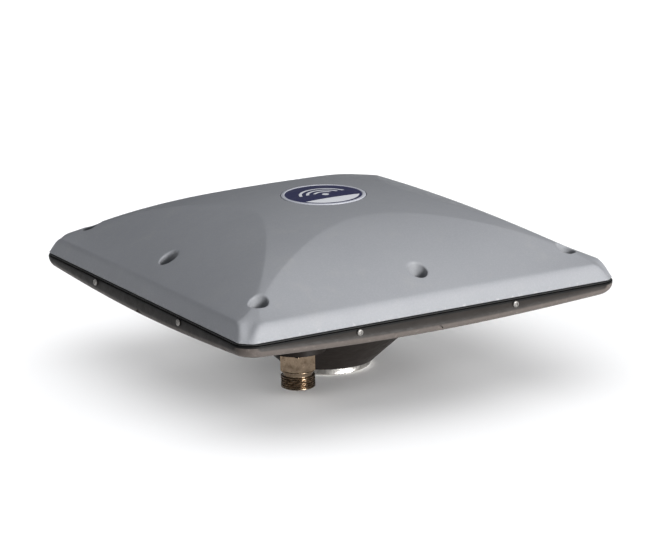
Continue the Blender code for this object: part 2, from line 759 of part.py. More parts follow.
def cap_screw(radius, length, head_radius, head_height, seat_z):
    """A domed cap screw pointing down, with a round socket; its head seats at seat_z."""
    socket_r = head_radius * SOCKET_SHARE
    top = seat_z + head_height
    return turned([
        (0.0, seat_z + head_height / 2),
        (socket_r, seat_z + head_height / 2),
        (socket_r, top),
        (head_radius * FLAT_TOP_SHARE, top),
        (head_radius, seat_z + head_height / 2),
        (head_radius, seat_z),
        (radius, seat_z),
        (radius, seat_z - length),
        (0.0, seat_z - length),
    ], SMALL_STEPS)


def make_dome_screws(screw_material, seal_material):
    length = DOME_HEAD_Z - (BOSS_TOP_Z - DOME_SCREW_GRIP)
    screw = cap_screw(DOME_SCREW_R, length, DOME_HEAD_R, DOME_HEAD_T, DOME_HEAD_Z)
    parts_at("radome_screw", screw, pocket_places(), screw_material)
    seal = tube(DOME_SCREW_R + HOLE_GAP, SEAL_R, SEAL_Z, SEAL_Z + SEAL_T, SMALL_STEPS)
    parts_at("radome_screw_seal", seal, pocket_places(), seal_material)


def make_side_screws(material):
    reach = BASE_WALL + LIP_GAP + LIP_WALL - GAP
    screw = turned([
        (0.0, GAP + SIDE_HEAD_T),
        (SIDE_HEAD_R * FLAT_TOP_SHARE, GAP + SIDE_HEAD_T),
        (SIDE_HEAD_R, GAP + SIDE_HEAD_T / 2),
        (SIDE_HEAD_R, GAP),
        (SIDE_SCREW_R, GAP),
        (SIDE_SCREW_R, -reach),
        (0.0, -reach),
    ], SMALL_STEPS)
    parts_at("side_screw", screw, side_screw_places(), material)


# --- electronics -------------------------------------------------------------


def drilled(name, mesh, cuts, material):
    body = cutter(name + "_blank", mesh)
    boolean(body, cutter(name + "_cuts", gather(cuts)), "DIFFERENCE")
    part(name, evaluated_mesh(body), material)


def make_ground_plane(material):
    """Round plate on the posts, with the amplifier's standoffs pressed into its underside."""
    bolt = rod(BOARD_SCREW_R + HOLE_GAP, 0.0, DOME_TOP_Z, SMALL_STEPS)
    amp = rod(AMP_SCREW_R + HOLE_GAP, 0.0, DOME_TOP_Z, SMALL_STEPS)
    feed = rod(FEED_HOLE_R, 0.0, DOME_TOP_Z, SMALL_STEPS)
    cuts = [(bolt, place) for place in post_places()]
    cuts += [(amp, place) for place in amp_hole_places()]
    cuts.append((feed, at(0.0, 0.0)))
    standoff = rod(AMP_STANDOFF_R, AMP_TOP_Z + GAP, GROUND_Z + GROUND_T / 2, SMALL_STEPS)
    body = cutter("ground_plate", rod(GROUND_R, GROUND_Z, GROUND_Z + GROUND_T, FINE_STEPS))
    boolean(body, cutter("standoffs", repeat(standoff, amp_hole_places())), "UNION")
    boolean(body, cutter("ground_cuts", gather(cuts)), "DIFFERENCE")
    part("ground_plane", evaluated_mesh(body), material)


def spiral_slot(height):
    """Cutter for one slot that sweeps round the axis as it goes outwards."""
    steps = 4
    left = []
    right = []
    for i in range(steps + 1):
        share = i / steps
        radius = SLOT_INNER_R + (SLOT_OUTER_R - SLOT_INNER_R) * share
        angle = SLOT_SWEEP * share
        centre = Vector((radius * math.cos(angle), radius * math.sin(angle)))
        across = Vector((-math.sin(angle), math.cos(angle))) * SLOT_WIDTH / 2
        left.append(centre + across)
        right.append(centre - across)
    return flat_plate([right + left[::-1]], height - RADIATOR_T, height + 2 * RADIATOR_T)


def make_antenna_board(board_material, copper_material):
    bolt = rod(BOARD_SCREW_R + HOLE_GAP, 0.0, DOME_TOP_Z, SMALL_STEPS)
    cuts = [(bolt, place) for place in post_places()]
    drilled("antenna_board", rod(BOARD_R, BOARD_Z, BOARD_TOP_Z, FINE_STEPS), cuts, board_material)

    low = BOARD_TOP_Z + GAP
    slots = [(spiral_slot(low), turn(2 * math.pi * i / SLOT_COUNT)) for i in range(SLOT_COUNT)]
    drilled("radiator", rod(RADIATOR_R, low, low + RADIATOR_T, FINE_STEPS), slots, copper_material)


def make_board_fasteners(spacer_material, screw_material):
    spacer = tube(BOARD_SCREW_R + HOLE_GAP, POST_R, SPACER_Z, SPACER_Z + SPACER_H, SMALL_STEPS)
    parts_at("board_spacer", spacer, post_places(), spacer_material)
    seat = BOARD_TOP_Z + GAP
    length = seat - (POST_TOP_Z - BOARD_SCREW_GRIP)
    screw = cap_screw(BOARD_SCREW_R, length, BOARD_HEAD_R, BOARD_HEAD_T, seat)
    parts_at("board_screw", screw, post_places(), screw_material)


def make_amplifier(board_material, tin_material, screw_material):
    """Amplifier board hung under the ground plane, with a tin screening cover."""
    hole = rod(AMP_SCREW_R + HOLE_GAP, 0.0, DOME_TOP_Z, SMALL_STEPS)
    cuts = [(hole, place) for place in amp_hole_places()]
    drilled("amplifier_board", block(AMP_LENGTH, AMP_WIDTH, AMP_Z, AMP_TOP_Z), cuts, board_material)

    cover_top = AMP_Z - GAP
    cover_mesh = block(COVER_LENGTH, COVER_WIDTH, cover_top - COVER_H, cover_top)
    bm = bmesh.new()
    bm.from_mesh(cover_mesh)
    lid = max(bm.faces, key=lambda face: face.calc_center_median().z)
    bmesh.ops.delete(bm, geom=[lid], context="FACES_ONLY")
    bm.to_mesh(cover_mesh)
    bm.free()
    cover = part("amplifier_cover", cover_mesh, tin_material)
    sheet = cover.modifiers.new("sheet", "SOLIDIFY")
    sheet.thickness = COVER_SHEET
    sheet.offset = -1.0
    sheet.use_even_offset = True

    seat = AMP_Z - GAP
    tip = GROUND_Z + GROUND_T
    screw = turned([
        (0.0, tip),
        (AMP_SCREW_R, tip),
        (AMP_SCREW_R, seat),
        (AMP_HEAD_R, seat),
        (AMP_HEAD_R, seat - AMP_HEAD_T),
        (0.0, seat - AMP_HEAD_T),
    ], SMALL_STEPS)
    parts_at("amplifier_screw", screw, amp_hole_places(), screw_material)


def make_feed_line(material):
    part("feed_line", rod(FEED_R, AMP_TOP_Z + GAP, BOARD_Z - GAP, SMALL_STEPS), material)


# --- coaxial jack ------------------------------------------------------------


def make_jack(metal, rubber, plastic, gold, steel):
    axis = at(JACK_X, JACK_Y)
    collar_low = JACK_HEX_Z - JACK_COLLAR_T
    relief_low = collar_low - JACK_RELIEF_T
    barrel = turned([
        (JACK_BORE_R, JACK_STUD_TOP_Z),
        (JACK_STUD_R - EDGE_BREAK, JACK_STUD_TOP_Z),
        (JACK_STUD_R, JACK_STUD_TOP_Z - EDGE_BREAK),
        (JACK_STUD_R, JACK_HEX_TOP_Z - EDGE_BREAK),
        (JACK_RELIEF_R, JACK_HEX_TOP_Z - EDGE_BREAK),
        (JACK_RELIEF_R, JACK_HEX_Z),
        (JACK_THREAD_R, JACK_HEX_Z),
        (JACK_THREAD_R, collar_low),
        (JACK_RELIEF_R, collar_low),
        (JACK_RELIEF_R, relief_low),
        (JACK_THREAD_R, relief_low - EDGE_BREAK),
        (JACK_THREAD_R, JACK_END_Z + EDGE_BREAK),
        (JACK_THREAD_R - EDGE_BREAK, JACK_END_Z),
        (JACK_BORE_R + EDGE_BREAK, JACK_END_Z),
        (JACK_BORE_R, JACK_END_Z + EDGE_BREAK),
    ], ROUND_STEPS, closed=True)
    body = cutter("jack_barrel", barrel)
    hexagon = cutter("jack_hex", hex_prism(JACK_HEX_AF, JACK_HEX_Z + EDGE_BREAK / 2, JACK_HEX_TOP_Z))
    core = rod(JACK_BORE_R + EDGE_BREAK, 0.0, PARTING_Z, ROUND_STEPS)
    boolean(hexagon, cutter("jack_hex_core", core), "DIFFERENCE")
    boolean(body, hexagon, "UNION")
    mesh = evaluated_mesh(body)
    mesh.transform(axis)
    part("jack_body", mesh, metal)

    stud_hole = JACK_STUD_R + HOLE_GAP
    ring_low = JACK_HEX_TOP_Z + GAP
    ring = tube(stud_hole, JACK_THREAD_R, ring_low, ring_low + JACK_RING_T)
    ring.transform(axis)
    part("jack_seal_ring", ring, rubber)

    washer_low = JACK_SEAT_Z + JACK_SEAT_T + GAP
    washer = tube(stud_hole, JACK_WASHER_R, washer_low, washer_low + JACK_WASHER_T)
    washer.transform(axis)
    part("jack_washer", washer, steel)

    nut_low = washer_low + JACK_WASHER_T + GAP
    nut_cut = rod(stud_hole, 0.0, PARTING_Z, ROUND_STEPS)
    nut = hex_prism(JACK_NUT_AF, nut_low, nut_low + JACK_NUT_T)
    nut.transform(axis)
    drilled("jack_nut", nut, [(nut_cut, axis)], metal)

    insulator_low = JACK_END_Z + JACK_SOCKET_DEPTH
    hole_r = JACK_PIN_R + HOLE_GAP
    outer_r = JACK_BORE_R - HOLE_GAP
    insulator = tube(hole_r, outer_r, insulator_low, JACK_STUD_TOP_Z, POCKET_STEPS)
    insulator.transform(axis)
    part("jack_insulator", insulator, plastic)

    pin_low = JACK_END_Z + JACK_SOCKET_DEPTH / 3
    pin_high = JACK_STUD_TOP_Z + JACK_PIN_TAIL
    socket_r = JACK_PIN_R / 2
    pin = turned([
        (0.0, pin_high),
        (JACK_PIN_R, pin_high),
        (JACK_PIN_R, pin_low),
        (socket_r, pin_low),
        (socket_r, pin_low + JACK_SOCKET_DEPTH / 3),
        (0.0, pin_low + JACK_SOCKET_DEPTH / 3),
    ], SMALL_STEPS)
    pin.transform(axis)
    part("jack_contact", pin, gold)


def make_pigtail(material):
    """Coaxial lead from the jack's tail up to the amplifier board's edge."""
    tail = Vector((JACK_X, JACK_Y, JACK_STUD_TOP_Z + JACK_PIN_TAIL + GAP))
    start = Vector((JACK_X, JACK_Y, HUB_TOP_Z + BASE_WALL / 2))
    tip = Vector((-AMP_LENGTH / 2 - GAP, 0.0, (AMP_Z + AMP_TOP_Z) / 2))
    end = tip - Vector((2 * PIGTAIL_R, 0.0, 0.0))
    pull = end.z - start.z
    rise = start + Vector((0.0, 0.0, pull))
    run_in = end - Vector((pull, 0.0, 0.0))
    points = [tail]
    steps = 12
    for i in range(steps + 1):
        t = i / steps
        weights = ((1 - t) ** 3, 3 * t * (1 - t) ** 2, 3 * t * t * (1 - t), t**3)
        corners = (start, rise, run_in, end)
        points.append(sum((w * c for w, c in zip(weights, corners)), Vector()))
    part("jack_pigtail", wire(points + [tip], PIGTAIL_R), material)


# --- assembly ----------------------------------------------------------------


clear_scene()
PARTS = new_collection("survey_antenna")
CUTTERS = new_collection("cutters")
ROOT = bpy.data.objects.new("survey_antenna_origin", None)
PARTS.objects.link(ROOT)

dome_grey = make_material("radome_grey", (0.43, 0.44, 0.46), 0.42, 0.0)
badge_blue = make_material("badge_blue", (0.02, 0.035, 0.12), 0.3, 0.0)
seal_black = make_material("seal_rubber", (0.012, 0.012, 0.013), 0.7, 0.0)
cast_dark = make_material("cast_dark", (0.045, 0.04, 0.037), 0.45, 0.6)
bright_steel = make_material("bright_steel", (0.68, 0.67, 0.65), 0.22, 1.0)
plain_steel = make_material("plain_steel", (0.6, 0.6, 0.6), 0.3, 1.0)
sheet_metal = make_material("sheet_aluminium", (0.75, 0.76, 0.77), 0.35, 1.0)
board_green = make_material("board_laminate", (0.03, 0.12, 0.05), 0.5, 0.0)
copper = make_material("copper", (0.75, 0.38, 0.22), 0.3, 1.0)
tin = make_material("tin_plate", (0.7, 0.7, 0.68), 0.35, 1.0)
jack_bronze = make_material("jack_bronze", (0.42, 0.34, 0.24), 0.28, 1.0)
jack_white = make_material("jack_insulator_white", (0.8, 0.79, 0.75), 0.5, 0.0)
gold = make_material("contact_gold", (0.8, 0.6, 0.25), 0.25, 1.0)
cable_black = make_material("cable_jacket", (0.02, 0.02, 0.02), 0.5, 0.0)

make_radome(dome_grey)
make_badge(badge_blue)
make_gasket(seal_black)
make_base(cast_dark)
make_mount(bright_steel, plain_steel)
make_dome_screws(plain_steel, seal_black)
make_side_screws(bright_steel)
make_ground_plane(sheet_metal)
make_antenna_board(board_green, copper)
make_board_fasteners(sheet_metal, plain_steel)
make_amplifier(board_green, tin, plain_steel)
make_feed_line(copper)
make_jack(jack_bronze, seal_black, jack_white, gold, plain_steel)
make_pigtail(cable_black)
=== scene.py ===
"""The looks of a square survey antenna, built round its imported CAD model.

Mesh code works in millimetres, in the model's own frame; MM turns them into metres.
"""

import json
import math

import bmesh
import bpy
import numpy as np
from mathutils import Matrix, Vector
from mathutils.geometry import delaunay_2d_cdt

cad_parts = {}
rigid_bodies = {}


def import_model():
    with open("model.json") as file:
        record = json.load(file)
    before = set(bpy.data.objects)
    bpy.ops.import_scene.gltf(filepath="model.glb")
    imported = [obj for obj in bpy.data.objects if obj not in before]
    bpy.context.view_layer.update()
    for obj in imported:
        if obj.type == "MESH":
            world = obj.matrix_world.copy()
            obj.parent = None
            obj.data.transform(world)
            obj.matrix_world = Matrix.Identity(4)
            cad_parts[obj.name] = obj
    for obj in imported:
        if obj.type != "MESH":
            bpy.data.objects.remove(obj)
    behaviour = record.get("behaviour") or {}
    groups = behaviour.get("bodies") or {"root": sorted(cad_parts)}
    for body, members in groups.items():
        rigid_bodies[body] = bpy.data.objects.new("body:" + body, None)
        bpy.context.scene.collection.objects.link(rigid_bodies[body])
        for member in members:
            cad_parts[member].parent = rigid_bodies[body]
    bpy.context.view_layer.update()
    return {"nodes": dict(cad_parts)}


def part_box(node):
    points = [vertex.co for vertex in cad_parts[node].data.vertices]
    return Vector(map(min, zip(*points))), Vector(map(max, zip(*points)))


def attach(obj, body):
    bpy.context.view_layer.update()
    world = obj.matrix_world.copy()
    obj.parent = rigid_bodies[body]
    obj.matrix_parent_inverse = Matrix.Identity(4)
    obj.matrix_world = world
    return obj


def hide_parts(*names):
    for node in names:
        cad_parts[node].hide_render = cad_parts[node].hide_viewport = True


MM = 0.001
BODY = "root"
GAP = 0.3  # between faces that seat on each other
FLOOR_Z = -0.2  # just clear of the resting face
FLOOR_R = 6000.0
SMOOTH_ANGLE = math.radians(32.0)

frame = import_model()


def box_of(node):
    """Lowest and highest corner of a CAD node, in millimetres."""
    low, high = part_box(node)
    return low / MM, high / MM


def centre_of(node):
    low, high = box_of(node)
    return (low + high) / 2


def centres_of(stem, count):
    """Centres of the CAD nodes stem_1 to stem_count."""
    return [centre_of(f"{stem}_{number}") for number in range(1, count + 1)]


# --- sizes read from the frame ---

BASE_LOW, BASE_HIGH = box_of("base_housing")
DOME_LOW, DOME_HIGH = box_of("radome")
BADGE_LOW, BADGE_HIGH = box_of("badge")
GASKET_LOW, GASKET_HIGH = box_of("radome_gasket")
INSERT_HIGH = box_of("mount_insert")[1]
JACK_LOW, JACK_HIGH = box_of("jack_body")
HALF = BASE_HIGH.x
BASE_TOP_Z = GASKET_LOW.z - GAP
PARTING_Z = GASKET_HIGH.z + GAP
DOME_TOP_Z = BADGE_HIGH.z
RIM_HALF = DOME_HIGH.x
BADGE_R = BADGE_HIGH.x
JACK_AXIS = centre_of("jack_body")
POCKETS = centres_of("radome_screw", 8)
POSTS = centres_of("board_screw", 4)
SIDE_SCREWS = centres_of("side_screw", 8)
INSERT_SCREWS = centres_of("insert_screw", 4)

# --- radome sizes ---

DOME_RISE = DOME_TOP_Z - PARTING_Z
RIM_CORNER_R = 9.5
RIM_CHAMFER = 0.25
RIM_INSETS = [0.0, 0.45, 0.9, 1.35, 1.8, 2.15, 2.45, 2.7, 2.95, 3.2, 3.45, 3.75, 4.15, 4.7, 5.4, 6.3, 7.5]
SKIRT_HEIGHT = 7.7
SKIRT_LEAN = 3.0
FOLD_U = RIM_HALF - SKIRT_LEAN
CORNER_HEIGHT = 13.75
CORNER_DISTANCE = 115.4  # from the axis to a corner screw
CROWN_FLATNESS = 0.067
FACET_LEVEL = 0.3
FACET_START = 14.4
FACET_BOW = 3.8
RIM_CORNER_CUT = 136.6  # from the axis to the flat that cuts a corner of the rim
CORNER_LEAN = 5.0  # of the flat, over the skirt's height
SKIRT_BLEND = 2.4  # rounding between a side of the skirt and a corner's flat
FOLD_BLEND = 2.0
CORNER_FOLD_BLEND = 6.0
RIDGE_BLEND = 2.0
CREASE_BLEND = 0.1
RADOME_WALL = 3.0
BASE_WALL = 3.0
LIP_HALF = HALF - BASE_WALL - 0.4
LIP_WALL = 3.2
LIP_LENGTH = 100.0
POCKET_R = 4.3
POCKET_FLOOR_Z = box_of("radome_screw_seal_1")[0].z - GAP
POCKET_WALL = 2.5
POCKET_ROUND = 0.9
HOLE_R = 2.3
SIDE_HOLE_R = 1.3
SEAT_Z = BADGE_LOW.z - GAP
SEAT_ROUND = 0.3
EDGE_RINGS = [0.0, 0.05, 0.13, 0.25, 0.4, 0.6, 0.8, 1.0, 1.5, 2.2, 3.0]  # as shares of the edge's rounding

# --- base sizes ---

BASE_CORNER_R = 10.0
EDGE_DEPTH = 9.7
EDGE_FILLET_R = 5.0
DISH_SLOPE = math.tan(math.radians(4.6))
HUB_TOP_R = 58.3
HUB_FOOT_R = 23.1
HUB_FLOOR_T = 7.0
POLE_PITCH = 2.309  # eleven turns to the inch
JACK_PITCH = 1.058  # twenty-four turns to the inch
EDGE_Z = PARTING_Z - EDGE_DEPTH
HUB_TOP_Z = EDGE_Z - (HALF - HUB_TOP_R) * DISH_SLOPE
HUB_FOOT_Z = BASE_LOW.z
HUB_SLOPE = (HUB_TOP_R - HUB_FOOT_R) / (HUB_TOP_Z - HUB_FOOT_Z)
BOSS_R = 6.0  # for the radome's screws
POST_R = 4.0  # under the ground plane
NUT_AF = 17.0
JACK_HOLE_R = 6.3
INSERT_HOLE_R = 1.8
SLEEVE_HOLE_R = 11.3
DRAIN_WIDTH = 7.0
DRAIN_DEPTH = 2.0
DRAIN_HEIGHT = 3.5


# --- mesh helpers ---


class Skin:
    """Points in millimetres and faces, gathered ring by ring."""

    def __init__(self):
        self.points = []
        self.faces = []

    def ring(self, places):
        start = len(self.points)
        self.points.extend(tuple(place) for place in places)
        return list(range(start, len(self.points)))

    def join(self, one, other):
        """Faces between two rings with the same number of points, or a ring and one point."""
        count = max(len(one), len(other))
        for i in range(count):
            j = (i + 1) % count
            corners = (one[i % len(one)], one[j % len(one)], other[j % len(other)], other[i % len(other)])
            self.faces.append(list(dict.fromkeys(corners)))

    def mesh(self, name):
        mesh = bpy.data.meshes.new(name)
        mesh.from_pydata([[value * MM for value in point] for point in self.points], [], self.faces)
        bm = bmesh.new()
        bm.from_mesh(mesh)
        bmesh.ops.recalc_face_normals(bm, faces=bm.faces)
        bm.to_mesh(mesh)
        bm.free()
        return mesh


def helper(name, mesh):
    obj = bpy.data.objects.new(name, mesh)
    bpy.context.scene.collection.objects.link(obj)
    return obj


def combined(base, others, operation):
    """The base mesh after a Boolean with each of the other meshes."""
    body = helper("blank", base)
    tools = [helper("tool", mesh) for mesh in others]
    for tool in tools:
        modifier = body.modifiers.new("join", "BOOLEAN")
        modifier.operation = operation
        modifier.solver = "MANIFOLD"
        modifier.object = tool
    bpy.context.view_layer.update()
    graph = bpy.context.evaluated_depsgraph_get()
    mesh = bpy.data.meshes.new_from_object(body.evaluated_get(graph))
    for obj in [body, *tools]:
        bpy.data.objects.remove(obj)
    return mesh


def gathered(mesh, places):
    """One mesh with a copy of this one at each place."""
    bm = bmesh.new()
    for place in places:
        copy = mesh.copy()
        copy.transform(place)
        bm.from_mesh(copy)
        bpy.data.meshes.remove(copy)
    joined = bpy.data.meshes.new("copies")
    bm.to_mesh(joined)
    bm.free()
    return joined


def piece(name, mesh, material, node, place=None):
    """A finished piece that stands for a CAD node."""
    mesh.materials.clear()
    mesh.materials.append(material)
    mesh.shade_smooth()
    mesh.set_sharp_from_angle(angle=SMOOTH_ANGLE)
    obj = helper(name, mesh)
    if place is not None:
        obj.matrix_world = place
    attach(obj, BODY)
    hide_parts(node)
    return obj


def at(x, y, z=0.0):
    return Matrix.Translation((x * MM, y * MM, z * MM))


def upright(centres, z=0.0):
    """Places at this height on the upright lines through these centres."""
    return [at(centre.x, centre.y, z) for centre in centres]


def turn(degrees):
    return Matrix.Rotation(math.radians(degrees), 4, "Z")


def filleted(outline, closed=False, steps=4):
    """An outline of (radius, z, fillet radius) corners, with each fillet as an arc."""
    made = []
    count = len(outline)
    for i, (radius, z, fillet) in enumerate(outline):
        here = Vector((radius, z))
        if fillet == 0 or (not closed and i in (0, count - 1)):
            made.append((radius, z))
            continue
        back = Vector(outline[i - 1][:2]) - here
        on = Vector(outline[(i + 1) % count][:2]) - here
        room = min(back.length, on.length) * 0.49
        back.normalize()
        on.normalize()
        half_turn = (math.pi - back.angle(on)) / 2
        reach = min(fillet * math.tan(half_turn), room)
        centre = here + (back + on).normalized() * (reach / math.sin(half_turn))
        first = here + back * reach - centre
        last = here + on * reach - centre
        sweep = first.angle(last)
        for step in range(steps + 1):
            share = step / steps
            arm = first * math.sin((1 - share) * sweep) + last * math.sin(share * sweep)
            made.append(tuple(centre + arm / math.sin(sweep)))
    return made


def lathed(stations, steps, closed=False):
    """A body turned about Z; a station's radius is a number or a function of angle and z."""
    skin = Skin()
    rings = []
    for radius, z in stations:
        if radius == 0:
            rings.append(skin.ring([(0.0, 0.0, z)]))
            continue
        places = []
        for i in range(steps):
            angle = 2 * math.pi * i / steps
            reach = radius(angle, z) if callable(radius) else radius
            places.append((reach * math.cos(angle), reach * math.sin(angle), z))
        rings.append(skin.ring(places))
    for upper, lower in zip(rings, rings[1:]):
        skin.join(upper, lower)
    if closed:
        skin.join(rings[-1], rings[0])
    return skin.mesh("turned")


def rod(radius, low, high, steps=48):
    return lathed([(0, high), (radius, high), (radius, low), (0, low)], steps)


def swept(rings, closed=False):
    """A body through these rings of points, joined back to the first ring or else capped."""
    skin = Skin()
    made = [skin.ring(ring) for ring in rings]
    for one, other in zip(made, made[1:]):
        skin.join(one, other)
    if closed:
        skin.join(made[-1], made[0])
    else:
        skin.faces += [made[0][::-1], made[-1]]
    return skin.mesh("swept")


def block(length, width, low, high):
    x, y = length / 2, width / 2
    corners = [(-x, -y), (x, -y), (x, y), (-x, y)]
    return swept([[(*corner, z) for corner in corners] for z in (low, high)])


def hexagon_radius(across_flats, turned_by=0.0):
    """Distance from the axis to a hexagon's side, as a function of the angle."""

    def radius(angle, z=0.0):
        local = (angle - turned_by + math.pi / 6) % (math.pi / 3) - math.pi / 6
        return across_flats / 2 / math.cos(local)

    return radius


def rounded_square(half, radius, z=0.0, spacing=1.5, corner_steps=16):
    """Outline of a square with rounded corners, anticlockwise from the +X side."""
    places = []
    straight = half - radius
    side_steps = max(2, round(2 * straight / spacing))
    for quarter in range(4):
        spin = Matrix.Rotation(quarter * math.pi / 2, 3, "Z")
        for i in range(side_steps):
            along = -straight + 2 * straight * i / side_steps
            places.append(spin @ Vector((half, along, z)))
        for i in range(corner_steps):
            angle = math.pi / 2 * i / corner_steps
            arm = Vector((math.cos(angle), math.sin(angle), 0.0)) * radius
            places.append(spin @ (Vector((straight, straight, z)) + arm))
    return places


# --- radome ---


def smooth_min(a, b, blend):
    """The lower of two heights, rounded over where they are within blend of each other."""
    near = np.maximum(blend - np.abs(a - b), 0.0) / blend
    return np.minimum(a, b) - near * near * blend / 4


def crown_height(r):
    def fall(distance):
        share = (distance / 100.0) ** 2
        return (1 - CROWN_FLATNESS) * share + CROWN_FLATNESS * share**2

    return DOME_RISE - (DOME_RISE - CORNER_HEIGHT) * fall(r) / fall(CORNER_DISTANCE)


def facet_height(u, v):
    """A facet's height at distance u outwards and v along; its bow dies out at the level fold."""
    top = DOME_RISE + FACET_LEVEL
    share = np.maximum(u - FACET_START, 0.0) / (FOLD_U - FACET_START)
    bow = FACET_BOW * (v / 100.0) ** 2 * (1 - np.minimum(share, 1.0) ** 10)
    return top - (top - SKIRT_HEIGHT) * share**2 - bow


def last_place(holds, low, high):
    """The highest place between low and high where a test still holds, found by halving."""
    for _ in range(40):
        middle = (low + high) / 2
        holding = holds(middle)
        low = np.where(holding, middle, low)
        high = np.where(holding, high, middle)
    return low


def skirt_planes(x, y):
    """Heights of the skirt's sides, and of the narrow flat that leans further across each corner."""
    u, v = np.abs(x), np.abs(y)
    side = (RIM_HALF - np.maximum(u, v)) / SKIRT_LEAN
    corner = (RIM_CORNER_CUT - (u + v) / math.sqrt(2.0)) / CORNER_LEAN
    return SKIRT_HEIGHT * side, SKIRT_HEIGHT * corner


def skirt_height(x, y):
    return smooth_min(*skirt_planes(x, y), SKIRT_BLEND)


def skirt_contour(height):
    """Plan points round the skirt where it, or the slope that carries it on, has this height."""
    angles = np.array([math.atan2(place.y, place.x) for place in rounded_square(RIM_HALF, RIM_CORNER_R)])

    def inside(reach):
        return skirt_height(reach * np.cos(angles), reach * np.sin(angles)) > height

    whole = np.full(len(angles), RIM_HALF)
    reach = last_place(inside, whole / 2, whole * 1.5)
    return np.stack([reach * np.cos(angles), reach * np.sin(angles)], axis=1)


def dome_height(x, y, drop=0.0, skirted=True):
    """Height of the radome's outside above PARTING_Z."""
    u, v = np.abs(x), np.abs(y)
    facets = smooth_min(facet_height(u, v), facet_height(v, u), RIDGE_BLEND)
    top = smooth_min(facets, crown_height(np.hypot(x, y)), CREASE_BLEND) - drop
    if not skirted:
        return top
    side, corner = skirt_planes(x, y)
    on_flat = np.clip((side - corner) / CORNER_FOLD_BLEND, 0.0, 1.0)
    return smooth_min(top, skirt_height(x, y), FOLD_BLEND + (CORNER_FOLD_BLEND - FOLD_BLEND) * on_flat)


def crease_line(offset):
    """Plan points along the line where the crown passes into a facet, moved out by offset."""
    v = np.arange(0.0, FOLD_U - 4.0, 1.1)

    def on_crown(u):
        return facet_height(u, v) > crown_height(np.hypot(u, v))

    u = last_place(on_crown, np.full_like(v, FACET_START + 10.0), np.full_like(v, FOLD_U)) + offset
    keep = (u > v + 0.6) & (u < FOLD_U - 2.0)
    u, v = u[keep], v[keep]
    points = [(sx * u, sy * v) for sx in (-1, 1) for sy in (-1, 1)]
    points += [(sx * v, sy * u) for sx in (-1, 1) for sy in (-1, 1)]
    return np.concatenate([np.stack(pair, axis=1) for pair in points])


def thinned(points, others, spacing):
    """The points that are no nearer than spacing to any of the others."""
    keep = np.ones(len(points), bool)
    for start in range(0, len(others), 400):
        part = others[start : start + 400]
        gap = np.hypot(points[:, None, 0] - part[None, :, 0], points[:, None, 1] - part[None, :, 1])
        keep &= gap.min(axis=1) > spacing
    return points[keep]


def square_grid(reach, spacing):
    lattice = np.arange(-reach, reach + 0.01, spacing)
    return np.stack(np.meshgrid(lattice, lattice), axis=-1).reshape(-1, 2)


def filled(outline, inner):
    """Plan points and triangles that fill an outline, with these further points inside it."""
    points = [Vector(place) for place in np.concatenate([outline, inner])]
    sheet = delaunay_2d_cdt(points, [], [list(range(len(outline)))], 1, 1e-6)
    return np.array([tuple(place) for place in sheet[0]]), np.array(sheet[2])


def in_order(flat, chosen, x=0.0, y=0.0):
    """These plan points in order round (x, y), and the angle of each."""
    angles = np.arctan2(flat[chosen, 1] - y, flat[chosen, 0] - x)
    order = np.argsort(angles)
    return chosen[order], angles[order]


def recesses():
    """Screw pockets and the badge's seat: x, y, radius, floor, rounding of the edge, points round it."""
    pockets = [(place.x, place.y, POCKET_R, POCKET_FLOOR_Z, POCKET_ROUND, 64) for place in POCKETS]
    return [*pockets, (0.0, 0.0, BADGE_R + GAP, SEAT_Z, SEAT_ROUND, 160)]


def dome_plan():
    """Plan points and triangles of the dome, closest together along its edges and creases."""
    levels = [SKIRT_HEIGHT * inset / SKIRT_LEAN for inset in RIM_INSETS]
    outline, *contours = [skirt_contour(level) for level in levels]
    rings = []
    for x, y, radius, _, edge, around in recesses():
        angles = np.linspace(0, 2 * math.pi, around, endpoint=False)
        for out in EDGE_RINGS:
            reach = radius + out * edge
            rings.append(np.stack([x + reach * np.cos(angles), y + reach * np.sin(angles)], axis=1))
    rings = np.concatenate(rings)
    crease = np.concatenate([crease_line(offset) for offset in (-0.9, -0.3, 0.0, 0.3, 0.9)])
    for near in (rings, np.concatenate([outline, *contours])):
        crease = thinned(crease, near, 0.6)
    grid = square_grid(RIM_HALF - RIM_INSETS[-1] - 1.2, 1.6)
    grid = grid[skirt_height(grid[:, 0], grid[:, 1]) > levels[-1] + 2.5]
    for near, spacing in ((crease, 0.8), (rings, 0.9)):
        grid = thinned(grid, near, spacing)
    return filled(outline, np.concatenate([*contours, rings, crease, grid]))


